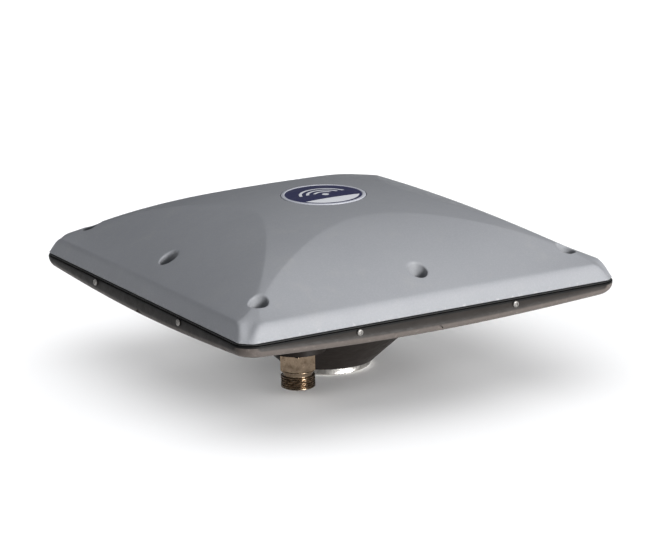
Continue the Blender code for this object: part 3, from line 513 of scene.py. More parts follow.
def dome_solid():
    """The radome's outside with its pockets and the badge's seat, closed underneath."""
    flat, faces = dome_plan()
    height = PARTING_Z + dome_height(flat[:, 0], flat[:, 1])
    middle = flat[faces].mean(axis=1)
    keep = np.ones(len(faces), bool)
    for x, y, radius, _, edge, _ in recesses():
        away = np.hypot(flat[:, 0] - x, flat[:, 1] - y) - radius
        short = np.clip(1 - away / edge, 0.0, 1.0)
        height -= edge * (1 - np.sqrt(1 - short**2))
        keep &= np.hypot(middle[:, 0] - x, middle[:, 1] - y) > radius * 0.999
    used = np.unique(faces[keep])
    skin = Skin()
    skin.ring(np.column_stack([flat, height]))
    skin.faces = faces[keep].tolist()
    for x, y, radius, floor, _, _ in recesses():
        away = np.hypot(flat[used, 0] - x, flat[used, 1] - y)
        lip, angles = in_order(flat, used[np.abs(away - radius) < 1e-3], x, y)
        rings = [lip.tolist()]
        wall = [(radius, height[lip].min() - 0.2), (radius, floor + 0.4)]
        wall += [(radius - 0.12, floor + 0.12), (radius - 0.4, floor)]
        for reach, z in wall:
            rings.append(skin.ring([(x + reach * math.cos(a), y + reach * math.sin(a), z) for a in angles]))
        for one, other in zip(rings, rings[1:]):
            skin.join(one, other)
        skin.faces.append(rings[-1])
    on_rim, _ = in_order(flat, used[skirt_height(flat[used, 0], flat[used, 1]) < 1e-3])
    shrink = 1 - RIM_CHAMFER / RIM_HALF
    foot = skin.ring([(flat[i, 0] * shrink, flat[i, 1] * shrink, PARTING_Z) for i in on_rim])
    for i in on_rim:
        skin.points[i] = (*flat[i], PARTING_Z + RIM_CHAMFER)
    skin.join(on_rim.tolist(), foot)
    skin.faces.append(foot)
    return skin.mesh("dome")


def dome_hollow():
    """The space inside the radome, from below its lip up to its wall."""
    half = LIP_HALF - LIP_WALL
    rim = rounded_square(half, RIM_CORNER_R - LIP_WALL, spacing=3.0, corner_steps=8)
    rim = np.array([place[:2] for place in rim])
    flat, faces = filled(rim, thinned(square_grid(half - 2.5, 3.0), rim, 2.0))
    height = PARTING_Z + dome_height(flat[:, 0], flat[:, 1], RADOME_WALL, skirted=False)
    skin = Skin()
    skin.ring(np.column_stack([flat, height]))
    skin.faces = faces.tolist()
    foot = skin.ring([(x, y, DOME_LOW.z - RADOME_WALL) for x, y in rim])
    skin.join(list(range(len(rim))), foot)
    skin.faces.append(foot)
    pillar = rod(POCKET_R + POCKET_WALL, PARTING_Z, DOME_TOP_Z + 10, 32)
    return combined(skin.mesh("hollow"), [gathered(pillar, upright(POCKETS))], "DIFFERENCE")


def side_screw_places():
    """Where each side screw goes through: local +Z points out, the origin on the wall's face."""
    places = []
    for centre in SIDE_SCREWS:
        if abs(centre.x) > abs(centre.y):
            outward = Matrix.Rotation(math.copysign(math.pi / 2, centre.x), 4, "Y")
            face = at(math.copysign(HALF, centre.x), centre.y, centre.z)
        else:
            outward = Matrix.Rotation(-math.copysign(math.pi / 2, centre.y), 4, "X")
            face = at(centre.x, math.copysign(HALF, centre.y), centre.z)
        places.append(face @ outward)
    return places


def make_radome(material):
    lip_top = PARTING_Z + SKIRT_HEIGHT / 2
    lips = [
        block(2 * LIP_HALF, LIP_LENGTH, DOME_LOW.z, lip_top),
        block(LIP_LENGTH, 2 * LIP_HALF, DOME_LOW.z, lip_top),
    ]
    body = combined(dome_solid(), lips, "UNION")
    holes = gathered(rod(HOLE_R, PARTING_Z - 10, POCKET_FLOOR_Z + 1), upright(POCKETS))
    side_holes = gathered(rod(SIDE_HOLE_R, -12, 3, 24), side_screw_places())
    body = combined(body, [dome_hollow(), holes, side_holes], "DIFFERENCE")
    piece("radome_shell", body, material, "radome")


def make_badge(material):
    """A thin disc that carries the crown's curve on, with a slightly raised rim."""
    rim_in = BADGE_R - 1.5
    raised = 0.16
    profile = [(radius, 0.0) for radius in np.linspace(1.0, rim_in, 19)]
    profile += [(rim_in + 0.15, raised), (BADGE_R - 0.35, raised), (BADGE_R - 0.1, 0.06), (BADGE_R, -0.1)]
    stations = [(radius, PARTING_Z + crown_height(radius) + lift) for radius, lift in profile]
    stations = [(0, DOME_TOP_Z), *stations, (BADGE_R, BADGE_LOW.z), (0, BADGE_LOW.z)]
    piece("badge_disc", lathed(stations, 160), material, "badge")


def make_gasket(material):
    """Flat seal round the rim, its outer edge slightly bulged."""
    low, high = GASKET_LOW.z, GASKET_HIGH.z
    inner, outer = HALF - BASE_WALL, GASKET_HIGH.x
    section = [(inner, high), (outer - 0.15, high), (outer - 0.03, high - 0.08), (outer, (low + high) / 2)]
    section += [(outer - 0.03, low + 0.08), (outer - 0.15, low), (inner, low)]
    rings = [rounded_square(half, BASE_CORNER_R - (HALF - half), z) for half, z in section]
    piece("rim_gasket", swept(rings, closed=True), material, "radome_gasket")


# --- base ---


def underside(radius):
    return HUB_TOP_Z + max(radius - HUB_TOP_R, 0.0) * DISH_SLOPE


def edge_rings(half, corner, fillet, lift, steps):
    """Rings round the tray's lower edge, from the wall's foot to the underside."""
    rings = []
    for i in range(steps + 1):
        angle = math.pi / 2 * i / steps
        inset = fillet * (1 - math.cos(angle))
        rise = fillet * (1 - math.sin(angle)) + lift
        ring = rounded_square(half - inset, corner - inset)
        for place in ring:
            place.z = underside(place.length) + rise
        rings.append(ring)
    return rings


def round_ring(like, radius, z):
    """A circle whose points lie in the same directions as those of another ring."""
    return [Vector((place.x, place.y, 0.0)).normalized() * radius + Vector((0.0, 0.0, z)) for place in like]


def base_blank():
    """Tray and hub as one shell, swept from the hub's floor inside over the wall and down to the foot."""
    like = rounded_square(HALF, BASE_CORNER_R)
    cone_wall = BASE_WALL * math.hypot(1.0, HUB_SLOPE)
    wall_corner = BASE_CORNER_R - BASE_WALL
    inside = edge_rings(HALF - BASE_WALL, wall_corner, EDGE_FILLET_R - BASE_WALL, BASE_WALL, 4)
    outside = edge_rings(HALF, BASE_CORNER_R, EDGE_FILLET_R, 0.0, 12)
    top = []
    for half, z in ((HALF - BASE_WALL, 0.0), (HALF - 0.35, 0.0), (HALF - 0.1, -0.1), (HALF, -0.35)):
        top.append(rounded_square(half, BASE_CORNER_R - (HALF - half), BASE_TOP_Z + z))
    blend = []
    for share in np.linspace(0.0, 1.0, 7):
        dish_r = HUB_TOP_R + 5 * (1 - share)
        cone_r = HUB_TOP_R - 3 * share
        cone_z = HUB_TOP_Z - 3 * share / HUB_SLOPE
        radius = dish_r * (1 - share) + cone_r * share
        z = underside(dish_r) * (1 - share) + cone_z * share
        blend.append(round_ring(like, radius, z))
    foot = [(0.8, 0.8 / HUB_SLOPE), (0.3, 0.12), (-0.3, 0.0)]
    rings = [
        round_ring(like, HUB_FOOT_R + HUB_FLOOR_T * HUB_SLOPE - cone_wall, HUB_FOOT_Z + HUB_FLOOR_T),
        round_ring(like, HUB_TOP_R + BASE_WALL * HUB_SLOPE - cone_wall, HUB_TOP_Z + BASE_WALL),
        *reversed(inside),
        *top,
        *outside,
        *blend,
        *[round_ring(like, HUB_FOOT_R + out, HUB_FOOT_Z + up) for out, up in foot],
    ]
    return swept(rings)


def drain_cutter():
    """A slot with a round top, for the notches in the tray's lower edge."""
    end_r = DRAIN_WIDTH / 2
    centre_z = EDGE_Z + DRAIN_HEIGHT - end_r
    outline = [(-end_r, HUB_FOOT_Z), (end_r, HUB_FOOT_Z)]
    for i in range(13):
        angle = math.pi * i / 12
        outline.append((end_r * math.cos(angle), centre_z + end_r * math.sin(angle)))
    return swept([[(x, along, z) for along, z in outline] for x in (-DRAIN_DEPTH, DRAIN_DEPTH)])


def make_base(material):
    """The cast tray and hub, with the bosses and posts inside and the holes for what is fitted to it."""
    above = 90.0
    boss_top = PARTING_Z - GAP
    post_top = BASE_HIGH.z
    nut_r = NUT_AF / math.sqrt(3.0) + 0.8
    nut_seat = box_of("jack_washer")[0].z - GAP
    ring_seat = box_of("jack_seal_ring")[1].z + GAP
    jack = upright([JACK_AXIS])
    jack_boss = rod(nut_r + POCKET_WALL, ring_seat, HUB_TOP_Z + BASE_WALL / 2, 64)
    solids = [gathered(jack_boss, jack)]
    for centres, radius, top in ((POCKETS, BOSS_R, boss_top), (POSTS, POST_R, post_top)):
        for centre in centres:
            foot = underside(math.hypot(centre.x, centre.y)) + BASE_WALL / 2
            solids.append(gathered(rod(radius, foot, top, 40), upright([centre])))
    blank = combined(base_blank(), solids, "UNION")
    jack_hole = [(0, above), (nut_r, above), (nut_r, nut_seat)]
    jack_hole += [(JACK_HOLE_R, nut_seat), (JACK_HOLE_R, 0), (0, 0)]
    cuts = [
        gathered(rod(HOLE_R, boss_top - 5.5, above, 24), upright(POCKETS)),
        gathered(rod(HOLE_R, post_top - 5.7, above, 24), upright(POSTS)),
        gathered(rod(INSERT_HOLE_R, 0, 10.3, 24), upright(INSERT_SCREWS)),
        gathered(rod(SIDE_HOLE_R, -8, 3, 24), side_screw_places()),
        rod(SLEEVE_HOLE_R, 0, HUB_FOOT_Z + 2 * HUB_FLOOR_T, 64),
        gathered(lathed(jack_hole, 64), jack),
        gathered(drain_cutter(), [turn(angle) @ at(HALF, 0) for angle in (0, 90, 180, 270)]),
    ]
    return piece("base_tray", combined(blank, cuts, "DIFFERENCE"), material, "base_housing")


def thread_radius(major, depth, pitch, low, high):
    """Radius of a screw thread at an angle and height, which runs out at both ends."""

    def radius(angle, z):
        phase = (z / pitch - angle / (2 * math.pi)) % 1.0
        ridge = min(1.0, max(0.0, abs(phase - 0.5) * 2.6 - 0.15))
        fade = min(1.0, max(0.0, (z - low) / pitch), max(0.0, (high - z) / pitch))
        return major - depth * ridge * fade

    return radius


def make_insert(material):
    """Threaded insert under the hub; its flange is the resting face."""
    flange_r, flange_t, sleeve_r = INSERT_HIGH.x, 3.0, 11.0
    major, minor, depth = 7.95, 6.75, 21.0
    mouth_r = major + 0.9
    head_room, head_depth = 3.05, 1.9
    outline = filleted([
        (0, INSERT_HIGH.z, 0),
        (sleeve_r, INSERT_HIGH.z, 0.7),
        (sleeve_r, flange_t, 0.0),
        (flange_r, flange_t, 0.4),
        (flange_r, 0.0, 0.7),
        (mouth_r, 0.0, 0.25),
    ], steps=5)
    outline.append((minor, mouth_r - minor))
    groove = thread_radius(major, major - minor, POLE_PITCH, 1.0, depth - 1.0)
    thread = [(groove, z) for z in np.arange(mouth_r - minor + 0.2, depth - 0.5, 0.3)]
    stations = outline + thread + [(minor, depth - 0.3), (minor - 0.4, depth), (0, depth)]
    counterbore = lathed([
        (0, 6),
        (INSERT_HOLE_R, 6),
        (INSERT_HOLE_R, head_depth),
        (head_room, head_depth),
        (head_room, 0.25),
        (head_room + 0.3, -0.05),
        (head_room + 0.3, -3),
        (0, -3),
    ], 40)
    body = combined(lathed(stations, 128), [gathered(counterbore, upright(INSERT_SCREWS))], "DIFFERENCE")
    return piece("hub_insert", body, material, "mount_insert")


# --- fasteners ---


def screw_mesh(shank_r, length, head_r, head_h, socket_af, domed):
    """A screw with a hexagonal socket; its head seats at z 0 and its shank points down."""
    socket = hexagon_radius(socket_af)
    depth = head_h * 0.62
    crown = head_h * 0.35 if domed else 0.0
    outline = filleted([
        (socket_af / 2 * 1.35, head_h, 0.0),
        (head_r * 0.72, head_h - crown * 0.15, crown),
        (head_r, head_h - crown, max(crown, 0.3)),
        (head_r, 0.0, 0.12),
        (shank_r, 0.0, 0.1),
        (shank_r, -length + 0.3, 0.0),
        (shank_r - 0.3, -length, 0.0),
    ])
    stations = [(0, head_h - depth * 1.12), (lambda a, z: socket(a) * 0.96, head_h - depth)]
    stations += [(socket, head_h - depth * 0.9), (socket, head_h - 0.12)]
    stations += [(lambda a, z: max(socket(a), socket_af / 2 * 1.12), head_h), *outline, (0, -length)]
    return lathed(stations, 48)


def ring_mesh(inner, outer, height, edge):
    corners = [(inner, height, edge), (outer, height, edge), (outer, 0.0, edge), (inner, 0.0, edge)]
    return lathed(filleted(corners, closed=True), 64, closed=True)


def twisted(places, degrees):
    """These places, each turned further about its own axis than the one before."""
    return [place @ turn(degrees * number) for number, place in enumerate(places, 1)]


def make_screws(steel, dull, rubber):
    low, high = box_of("radome_screw_1")
    head_h = 2.6
    seat = high.z - head_h
    screw = screw_mesh(2.0, seat - low.z, head_r=3.5, head_h=head_h, socket_af=3.0, domed=True)
    low, high = box_of("radome_screw_seal_1")
    seal = ring_mesh(HOLE_R, (high.x - low.x) / 2, high.z - low.z, 0.2)
    pairs = zip(twisted(upright(POCKETS, seat), 23.0), upright(POCKETS, low.z))
    for number, (place, under) in enumerate(pairs, 1):
        piece(f"dome_screw_{number}", screw, steel, f"radome_screw_{number}", place)
        piece(f"dome_seal_{number}", seal, rubber, f"radome_screw_seal_{number}", under)

    side = screw_mesh(1.0, 6.3 + GAP, head_r=1.5, head_h=0.7, socket_af=1.3, domed=True)
    places = twisted([place @ at(0, 0, GAP) for place in side_screw_places()], 17.0)
    for number, place in enumerate(places, 1):
        piece(f"edge_screw_{number}", side, dull, f"side_screw_{number}", place)

    low, high = box_of("insert_screw_1")
    length = 8.0
    flipped = Matrix.Rotation(math.pi, 4, "X")
    mount = screw_mesh(1.5, length, head_r=2.75, head_h=high.z - low.z - length, socket_af=2.0, domed=False)
    places = [place @ flipped for place in twisted(upright(INSERT_SCREWS, high.z - length), 31.0)]
    for number, place in enumerate(places, 1):
        piece(f"hub_screw_{number}", mount, steel, f"insert_screw_{number}", place)


# --- coaxial jack ---


def make_jack(metal, rubber, plastic, gold):
    """Coaxial jack that points down beside the hub: hexagon, groove and threaded barrel."""
    axis = at(JACK_AXIS.x, JACK_AXIS.y)
    thread_r, relief_r, bore_r, stud_r = 7.95, 6.8, 4.2, 6.0
    thread_depth = 0.55
    hex_af, hex_low = 16.0, 12.6
    end = JACK_LOW.z
    hex_top = box_of("jack_seal_ring")[0].z - GAP
    collar_low = hex_low - 1.0
    relief_low = collar_low - 1.6
    hexagon = hexagon_radius(hex_af, math.radians(30.0))
    rounding = hex_af / 2 * 1.07

    def chamfered(angle, z):
        """The hexagon with its corners turned off towards both faces."""
        from_face = max(min(z - hex_low, hex_top - z), 0.0)
        return min(hexagon(angle), rounding + from_face * 1.9)

    hex_heights = [hex_top - step for step in (0.0, 0.15, 0.35, 0.6, 1.0)]
    hex_heights += [hex_low + step for step in (1.0, 0.6, 0.35, 0.15, 0.02)]
    upper = filleted([
        (bore_r, JACK_HIGH.z, 0.2),
        (stud_r, JACK_HIGH.z, 0.6),
        (stud_r, hex_top, 0.0),
        (rounding - 0.4, hex_top, 0.0),
    ], steps=3)
    stations = upper + [(chamfered, z) for z in hex_heights]
    stations += filleted([
        (relief_r, hex_low, 0.0),
        (relief_r, hex_low - 0.25, 0.1),
        (thread_r, hex_low - 0.25, 0.2),
        (thread_r, collar_low, 0.2),
        (relief_r, collar_low, 0.2),
        (relief_r, relief_low, 0.2),
        (thread_r - thread_depth, relief_low - thread_depth, 0.0),
    ], steps=3)
    low, high = end + thread_depth, relief_low - 0.35
    ridges = thread_radius(thread_r, thread_depth, JACK_PITCH, low, high + 0.3)
    stations += [(ridges, z) for z in np.arange(high, low, -0.11)]
    stations += filleted([
        (thread_r - 0.45, end + 0.4, 0.0),
        (thread_r - 0.95, end, 0.2),
        (bore_r + 0.7, end, 0.2),
        (bore_r, end + 0.7, 0.2),
    ], steps=3)
    piece("jack_shell", lathed(stations, 120, closed=True), metal, "jack_body", axis)

    low, high = box_of("jack_seal_ring")
    ring = ring_mesh(stud_r + 0.3, (high.x - low.x) / 2, high.z - low.z, 0.25)
    piece("jack_gasket", ring, rubber, "jack_seal_ring", axis @ at(0, 0, low.z))

    low, high = box_of("jack_insulator")
    corners = [(1.8, high.z, 0.1), (3.9, high.z, 0.2), (3.9, low.z, 0.3), (2.6, low.z, 0.1)]
    corners += [(2.4, low.z + 0.8, 0.1), (1.8, low.z + 0.8, 0.1)]
    core = lathed(filleted(corners, closed=True), 64, closed=True)
    piece("jack_core", core, plastic, "jack_insulator", axis)

    low, high = box_of("jack_contact")
    pin_r = (high.x - low.x) / 2
    outline = filleted([
        (0, high.z, 0),
        (pin_r, high.z, 0.3),
        (pin_r, low.z, 0.25),
        (pin_r * 0.55, low.z, 0.2),
        (pin_r * 0.5, low.z + 3, 0.1),
        (0, low.z + 3, 0),
    ])
    piece("jack_pin", lathed(outline, 48), gold, "jack_contact", axis)


# --- materials ---


class Look:
    """A node material: a Principled shader and the nodes that feed it."""

    def __init__(self, name, **uniform):
        self.material = bpy.data.materials.new(name)
        self.material.use_nodes = True
        self.tree = self.material.node_tree
        self.shader = self.tree.nodes["Principled BSDF"]
        for key, value in uniform.items():
            self.shader.inputs[key.replace("_", " ")].default_value = value
        self.place = self.add("ShaderNodeTexCoord").outputs["Object"]

    def add(self, kind, inputs=None, **settings):
        node = self.tree.nodes.new(kind)
        for key, value in settings.items():
            setattr(node, key, value)
        for key, value in (inputs or {}).items():
            if isinstance(value, bpy.types.NodeSocket):
                self.tree.links.new(value, node.inputs[key])
            else:
                node.inputs[key].default_value = value
        return node

    def math(self, operation, *values):
        return self.add("ShaderNodeMath", dict(enumerate(values)), operation=operation).outputs[0]

    def times(self, one, other):
        return self.math("MULTIPLY", one, other)

    def noise(self, size, detail=3.0, fineness=0.5, stretch=(1.0, 1.0, 1.0)):
        """Noise from 0 to 1 with features about size millimetres across."""
        vector = self.place
        if stretch != (1.0, 1.0, 1.0):
            vector = self.add("ShaderNodeMapping", {"Vector": vector, "Scale": stretch}).outputs[0]
        inputs = {"Vector": vector, "Scale": 1 / (size * MM), "Detail": detail, "Roughness": fineness}
        return self.add("ShaderNodeTexNoise", inputs).outputs["Fac"]

    def cells(self, size):
        inputs = {"Vector": self.place, "Scale": 1 / (size * MM)}
        return self.add("ShaderNodeTexVoronoi", inputs, feature="SMOOTH_F1").outputs["Distance"]

    def axes(self):
        return tuple(self.add("ShaderNodeSeparateXYZ", {0: self.place}).outputs)

    def away(self, x=0.0, y=0.0):
        """Distance in plan from the axis at (x, y) millimetres, in metres."""
        along_x, along_y, _ = self.axes()
        dx = self.math("SUBTRACT", along_x, x * MM)
        dy = self.math("SUBTRACT", along_y, y * MM)
        return self.math("SQRT", self.math("ADD", self.times(dx, dx), self.times(dy, dy)))

    def step(self, value, low, high, start=0.0, end=1.0):
        """start below low, end above high, and smooth between them."""
        inputs = {"Value": value, "From Min": low, "From Max": high, "To Min": start, "To Max": end}
        return self.add("ShaderNodeMapRange", inputs, interpolation_type="SMOOTHSTEP").outputs[0]

    def mix(self, share, first, second):
        """The first colour where share is 0 and the second where it is 1."""
        tones = [(*tone, 1.0) if isinstance(tone, tuple) else tone for tone in (first, second)]
        return self.add("ShaderNodeMix", {0: share, 6: tones[0], 7: tones[1]}, data_type="RGBA").outputs[2]

    def colour(self, value):
        self.tree.links.new(value, self.shader.inputs["Base Color"])

    def rough(self, low, high, size, detail=5.0, fineness=0.5):
        """Roughness that wanders between two values, in patches of about this size."""
        value = self.step(self.noise(size, detail, fineness), 0.2, 0.8, low, high)
        self.tree.links.new(value, self.shader.inputs["Roughness"])

    def bump(self, height, depth, strength=1.0, before=None):
        """Bump of a height from 0 to 1 that stands for depth millimetres."""
        inputs = {"Height": height, "Distance": depth * MM, "Strength": strength}
        if before is not None:
            inputs["Normal"] = before
        normal = self.add("ShaderNodeBump", inputs).outputs[0]
        self.tree.links.new(normal, self.shader.inputs["Normal"])
        return normal


def radome_look():
    """Satin moulded plastic with a fine spark grain, scuffed a little along its lower edge."""
    look = Look("radome_plastic_look", Metallic=0.0, Specular_IOR_Level=0.3)
    _, _, height = look.axes()
    tone = look.mix(look.noise(38.0, 4.0), (0.213, 0.22, 0.236), (0.24, 0.246, 0.26))
    speckle = look.step(look.noise(0.7, 2.0), 0.35, 0.75)
    tone = look.mix(look.times(speckle, 0.35), tone, (0.27, 0.275, 0.29))
    low = look.step(height, (PARTING_Z + 0.3) * MM, (PARTING_Z + 2.2) * MM, 1.0, 0.0)
    scuff = look.times(low, look.step(look.noise(2.6, 5.0, 0.7), 0.5, 0.68))
    tone = look.mix(look.times(scuff, 0.5), tone, (0.42, 0.42, 0.43))
    dust = look.times(look.step(look.noise(14.0, 6.0, 0.65), 0.52, 0.8), 0.16)
    look.colour(look.mix(dust, tone, (0.34, 0.33, 0.31)))
    look.rough(0.44, 0.56, 9.0)
    normal = look.bump(look.noise(0.55, 3.0, 0.6), 0.035)
    look.bump(look.noise(24.0, 2.0), 0.12, before=normal)
    return look.material


def badge_look():
    """Printed disc: dark field, pale rim, a pale segment on one side, three arcs and a dot."""
    look = Look("badge_print_look", Metallic=0.0, Specular_IOR_Level=0.3)
    _, along_y, _ = look.axes()
    away = look.away()
    blur = 0.12 * MM
    rim_in = (BADGE_R - 1.7) * MM
    rim = look.step(away, rim_in - blur, rim_in + blur)
    chord = -8.6 * MM
    segment = look.step(along_y, chord - blur, chord + blur, 1.0, 0.0)
    inset = look.step(away, (BADGE_R - 3.2) * MM, (BADGE_R - 3.0) * MM, 1.0, 0.0)
    segment = look.times(segment, inset)
    focus = look.away(0.0, -2.0)
    upper = look.step(along_y, 0.6 * MM, 1.1 * MM)
    dot = look.step(focus, 1.6 * MM, 1.6 * MM + blur, 1.0, 0.0)
    marks = look.math("MAXIMUM", dot, segment)
    for radius in (5.0, 8.4, 11.8):
        off = look.math("ABSOLUTE", look.math("SUBTRACT", focus, radius * MM))
        arc = look.step(off, 0.65 * MM, 0.65 * MM + blur, 1.0, 0.0)
        marks = look.math("MAXIMUM", marks, look.times(arc, upper))
    field = look.mix(look.noise(6.0, 4.0), (0.007, 0.008, 0.052), (0.011, 0.013, 0.072))
    print_tone = look.mix(look.noise(3.0, 4.0), (0.66, 0.67, 0.7), (0.75, 0.76, 0.79))
    tone = look.mix(marks, field, print_tone)
    silver = look.mix(look.noise(2.0, 5.0), (0.4, 0.41, 0.46), (0.5, 0.51, 0.55))
    worn = look.times(look.step(look.noise(1.2, 5.0, 0.7), 0.62, 0.74), 0.4)
    look.colour(look.mix(worn, look.mix(rim, tone, silver), (0.3, 0.31, 0.34)))
    look.rough(0.26, 0.42, 5.0)
    look.bump(look.noise(0.9, 3.0), 0.02)
    return look.material


def rubber_look(name="seal_rubber_look", tone=(0.006, 0.006, 0.006), dusty=(0.028, 0.026, 0.024)):
    look = Look(name, Metallic=0.0)
    dust = look.step(look.noise(3.5, 6.0, 0.65), 0.42, 0.85)
    look.colour(look.mix(look.times(dust, 0.5), tone, dusty))
    look.rough(0.55, 0.8, 1.5, 4.0)
    look.bump(look.noise(0.35, 3.0), 0.03)
    return look.material


def base_look():
    """Dark glossy coating on a casting. Its rounded lower edge is painted a lighter brownish grey as a
    painted reflection of the floor, with worn specks on it. The underside and hub are painted darker as
    painted shade, and the top of the wall carries a painted shadow under the seal.
    """
    look = Look("cast_base_look", Metallic=0.0, Specular_IOR_Level=0.05)
    along_x, along_y, height = look.axes()
    reach = look.math("MAXIMUM", look.math("ABSOLUTE", along_x), look.math("ABSOLUTE", along_y))
    # Painted shade: the underside and hub get a darker tone than the wall, for the shadowed floor they
    # face.
    tone = look.mix(look.noise(11.0, 5.0), (0.0055, 0.0045, 0.004), (0.01, 0.008, 0.007))
    wall = look.step(reach, (HALF - 7.0) * MM, (HALF - 4.5) * MM)
    wall_tone = look.mix(look.noise(7.0, 5.0), (0.0095, 0.0083, 0.0075), (0.015, 0.013, 0.0118))
    tone = look.mix(wall, tone, wall_tone)
    # Painted reflection: the rounded lower edge is made lighter, as if it mirrored the bright floor.
    inset = look.math("SUBTRACT", HALF * MM, reach)
    inner_side = look.step(inset, 4.2 * MM, 5.6 * MM, 1.0, 0.0)
    painted_reflection_band = look.times(look.step(inset, 0.06 * MM, 0.5 * MM), inner_side)
    painted_reflection_tone = look.mix(look.noise(3.4, 6.0, 0.7), (0.043, 0.037, 0.033), (0.07, 0.06, 0.055))
    tone = look.mix(look.times(painted_reflection_band, 0.9), tone, painted_reflection_tone)
    # Worn specks, lighter still, on the painted reflection band.
    worn = look.times(painted_reflection_band, look.step(look.noise(1.5, 6.0, 0.75), 0.56, 0.66))
    tone = look.mix(look.times(worn, 0.6), tone, (0.1, 0.087, 0.078))
    # Painted shadow: the top of the wall is painted black to darken the gap under the seal.
    painted_gap_shadow = look.step(height, (BASE_TOP_Z - 0.95) * MM, (BASE_TOP_Z - 0.75) * MM)
    look.colour(look.mix(look.times(painted_gap_shadow, wall), tone, (0.006, 0.006, 0.006)))
    look.rough(0.33, 0.5, 4.0)
    normal = look.bump(look.noise(1.0, 3.0, 0.6), 0.07)
    look.bump(look.cells(3.2), 0.05, before=normal)
    return look.material


def metal_look(name, bright, dull, rough, turned=None, tarnish=0.3, grain=(1.0, 1.0, 1.0)):
    """Bare metal with tarnish and fine scratches; turned metal has rings round its axis."""
    look = Look(name, Metallic=1.0)
    stain = look.step(look.noise(4.0, 6.0, 0.65), 0.4, 0.8)
    look.colour(look.mix(look.times(stain, tarnish), bright, dull))
    look.rough(rough - 0.06, rough + 0.1, 1.8, 5.0, 0.6)
    scratch = look.noise(0.5, 4.0, 0.6, grain)
    if turned is not None:
        spacing = 0.32 * MM
        lines = look.math("SINE", look.times(look.away(*turned), 2 * math.pi / spacing))
        scratch = look.math("ADD", look.times(lines, 0.35), scratch)
    look.bump(scratch, 0.007)
    return look.material


def laminate_look():
    look = Look("board_laminate_look", Metallic=0.0, Coat_Weight=0.3, Coat_Roughness=0.2)
    weft = look.noise(0.6, 1.0, 0.4, (1.0, 0.08, 1.0))
    weave = look.times(weft, look.noise(0.6, 1.0, 0.4, (0.08, 1.0, 1.0)))
    look.colour(look.mix(look.step(weave, 0.1, 0.4), (0.02, 0.1, 0.045), (0.035, 0.15, 0.07)))
    look.rough(0.35, 0.5, 6.0, 4.0)
    look.bump(weave, 0.02)
    return look.material


def plastic_look(name, tone, other, rough):
    look = Look(name, Metallic=0.0)
    look.colour(look.mix(look.noise(3.0, 5.0), tone, other))
    look.rough(rough - 0.05, rough + 0.08, 2.0, 4.0)
    look.bump(look.noise(0.4, 3.0), 0.015)
    return look.material


def floor_look():
    """Pale paper; its underside lets the eye through."""
    look = Look("studio_floor_look", Metallic=0.0, Roughness=0.9, Specular_IOR_Level=0.0)
    look.colour(look.mix(look.noise(300.0, 2.0), (0.955, 0.955, 0.955), (0.965, 0.965, 0.965)))
    output = look.tree.nodes["Material Output"]
    clear = look.add("ShaderNodeBsdfTransparent").outputs[0]
    back = look.add("ShaderNodeNewGeometry").outputs["Backfacing"]
    both = look.add("ShaderNodeMixShader", {0: back, 1: look.shader.outputs[0], 2: clear})
    look.tree.links.new(both.outputs[0], output.inputs["Surface"])
    return look.material


def dress_cad_nodes(looks):
    """Materials for the inner pieces, which keep their CAD meshes."""
    finishes = {
        "ground_plane": "sheet",
        "antenna_board": "laminate",
        "amplifier_board": "laminate",
        "radiator": "copper",
        "feed_line": "copper",
        "amplifier_cover": "tin",
        "board_spacer": "sheet",
        "board_screw": "steel",
        "amplifier_screw": "steel",
        "jack_washer": "steel",
        "jack_nut": "bronze",
        "jack_pigtail": "cable",
    }
    for name, node in frame["nodes"].items():
        if node.hide_render:
            continue
        kind = finishes[name.rstrip("0123456789").rstrip("_")]
        node.data.materials.clear()
        node.data.materials.append(looks[kind])


# --- stage ---


def aim(obj, place, target):
    obj.location = place
    obj.rotation_mode = "QUATERNION"
    obj.rotation_quaternion = (Vector(target) - Vector(place)).to_track_quat("-Z", "Y")


def light_group(name, members, state):
    group = bpy.data.collections.new(name)
    for member in members:
        group.objects.link(member)
    for entry in group.collection_objects:
        entry.light_linking.link_state = state
    return group


def area_light(name, place, target, size, power, colour=(1.0, 1.0, 1.0), skips=(), only=()):
    """A rectangular light in watts; it leaves some objects unlit, or lights only some."""
    data = bpy.data.lights.new(name, "AREA")
    data.shape = "RECTANGLE"
    data.size, data.size_y = size
    data.energy = power
    data.color = colour
    obj = bpy.data.objects.new(name, data)
    bpy.context.scene.collection.objects.link(obj)
    aim(obj, place, target)
    if skips or only:
        state = "EXCLUDE" if skips else "INCLUDE"
        obj.light_linking.receiver_collection = light_group(name + "_lit", skips or only, state)
    return obj


def make_floor():
    """A wide disc that faces upwards."""
    floor = helper("studio_floor", lathed([(0, FLOOR_Z), (FLOOR_R, FLOOR_Z)], 24))
    for polygon in floor.data.polygons:
        if polygon.normal.z < 0:
            polygon.flip()
    floor.data.materials.append(floor_look())
    return floor


def make_lights(floor, underpart):
    """A low key from the front right, a weak overhead fill, a bounce from below for the base's
    edge, and panels all round that light the floor alone, so that only soft shadows fall on it."""
    target = (0.0, 0.0, 0.05)
    area_light("key", (0.35, -1.9, 0.6), target, (0.8, 0.5), 61.5, (1.0, 0.995, 0.985), skips=[floor])
    area_light("overhead", (-0.1, 0.0, 1.7), target, (1.2, 1.2), 7.5, (0.96, 0.98, 1.0), skips=[floor])
    bounce = area_light("bounce", (0.45, -1.1, -0.7), target, (0.7, 0.4), 42.0, only=underpart)
    bounce.light_linking.blocker_collection = light_group("bounce_free", [floor], "EXCLUDE")
    area_light("floor_top", (0.0, 0.0, 2.4), (0.0, 0.0, 0.0), (4.0, 4.0), 32.0, only=[floor])
    for quarter in range(4):
        angle = math.radians(90 * quarter + 15)
        place = (2.6 * math.cos(angle), 2.6 * math.sin(angle), 0.9)
        area_light(f"floor_side_{quarter + 1}", place, (0.0, 0.0, 0.1), (3.6, 1.7), 56.0, only=[floor])


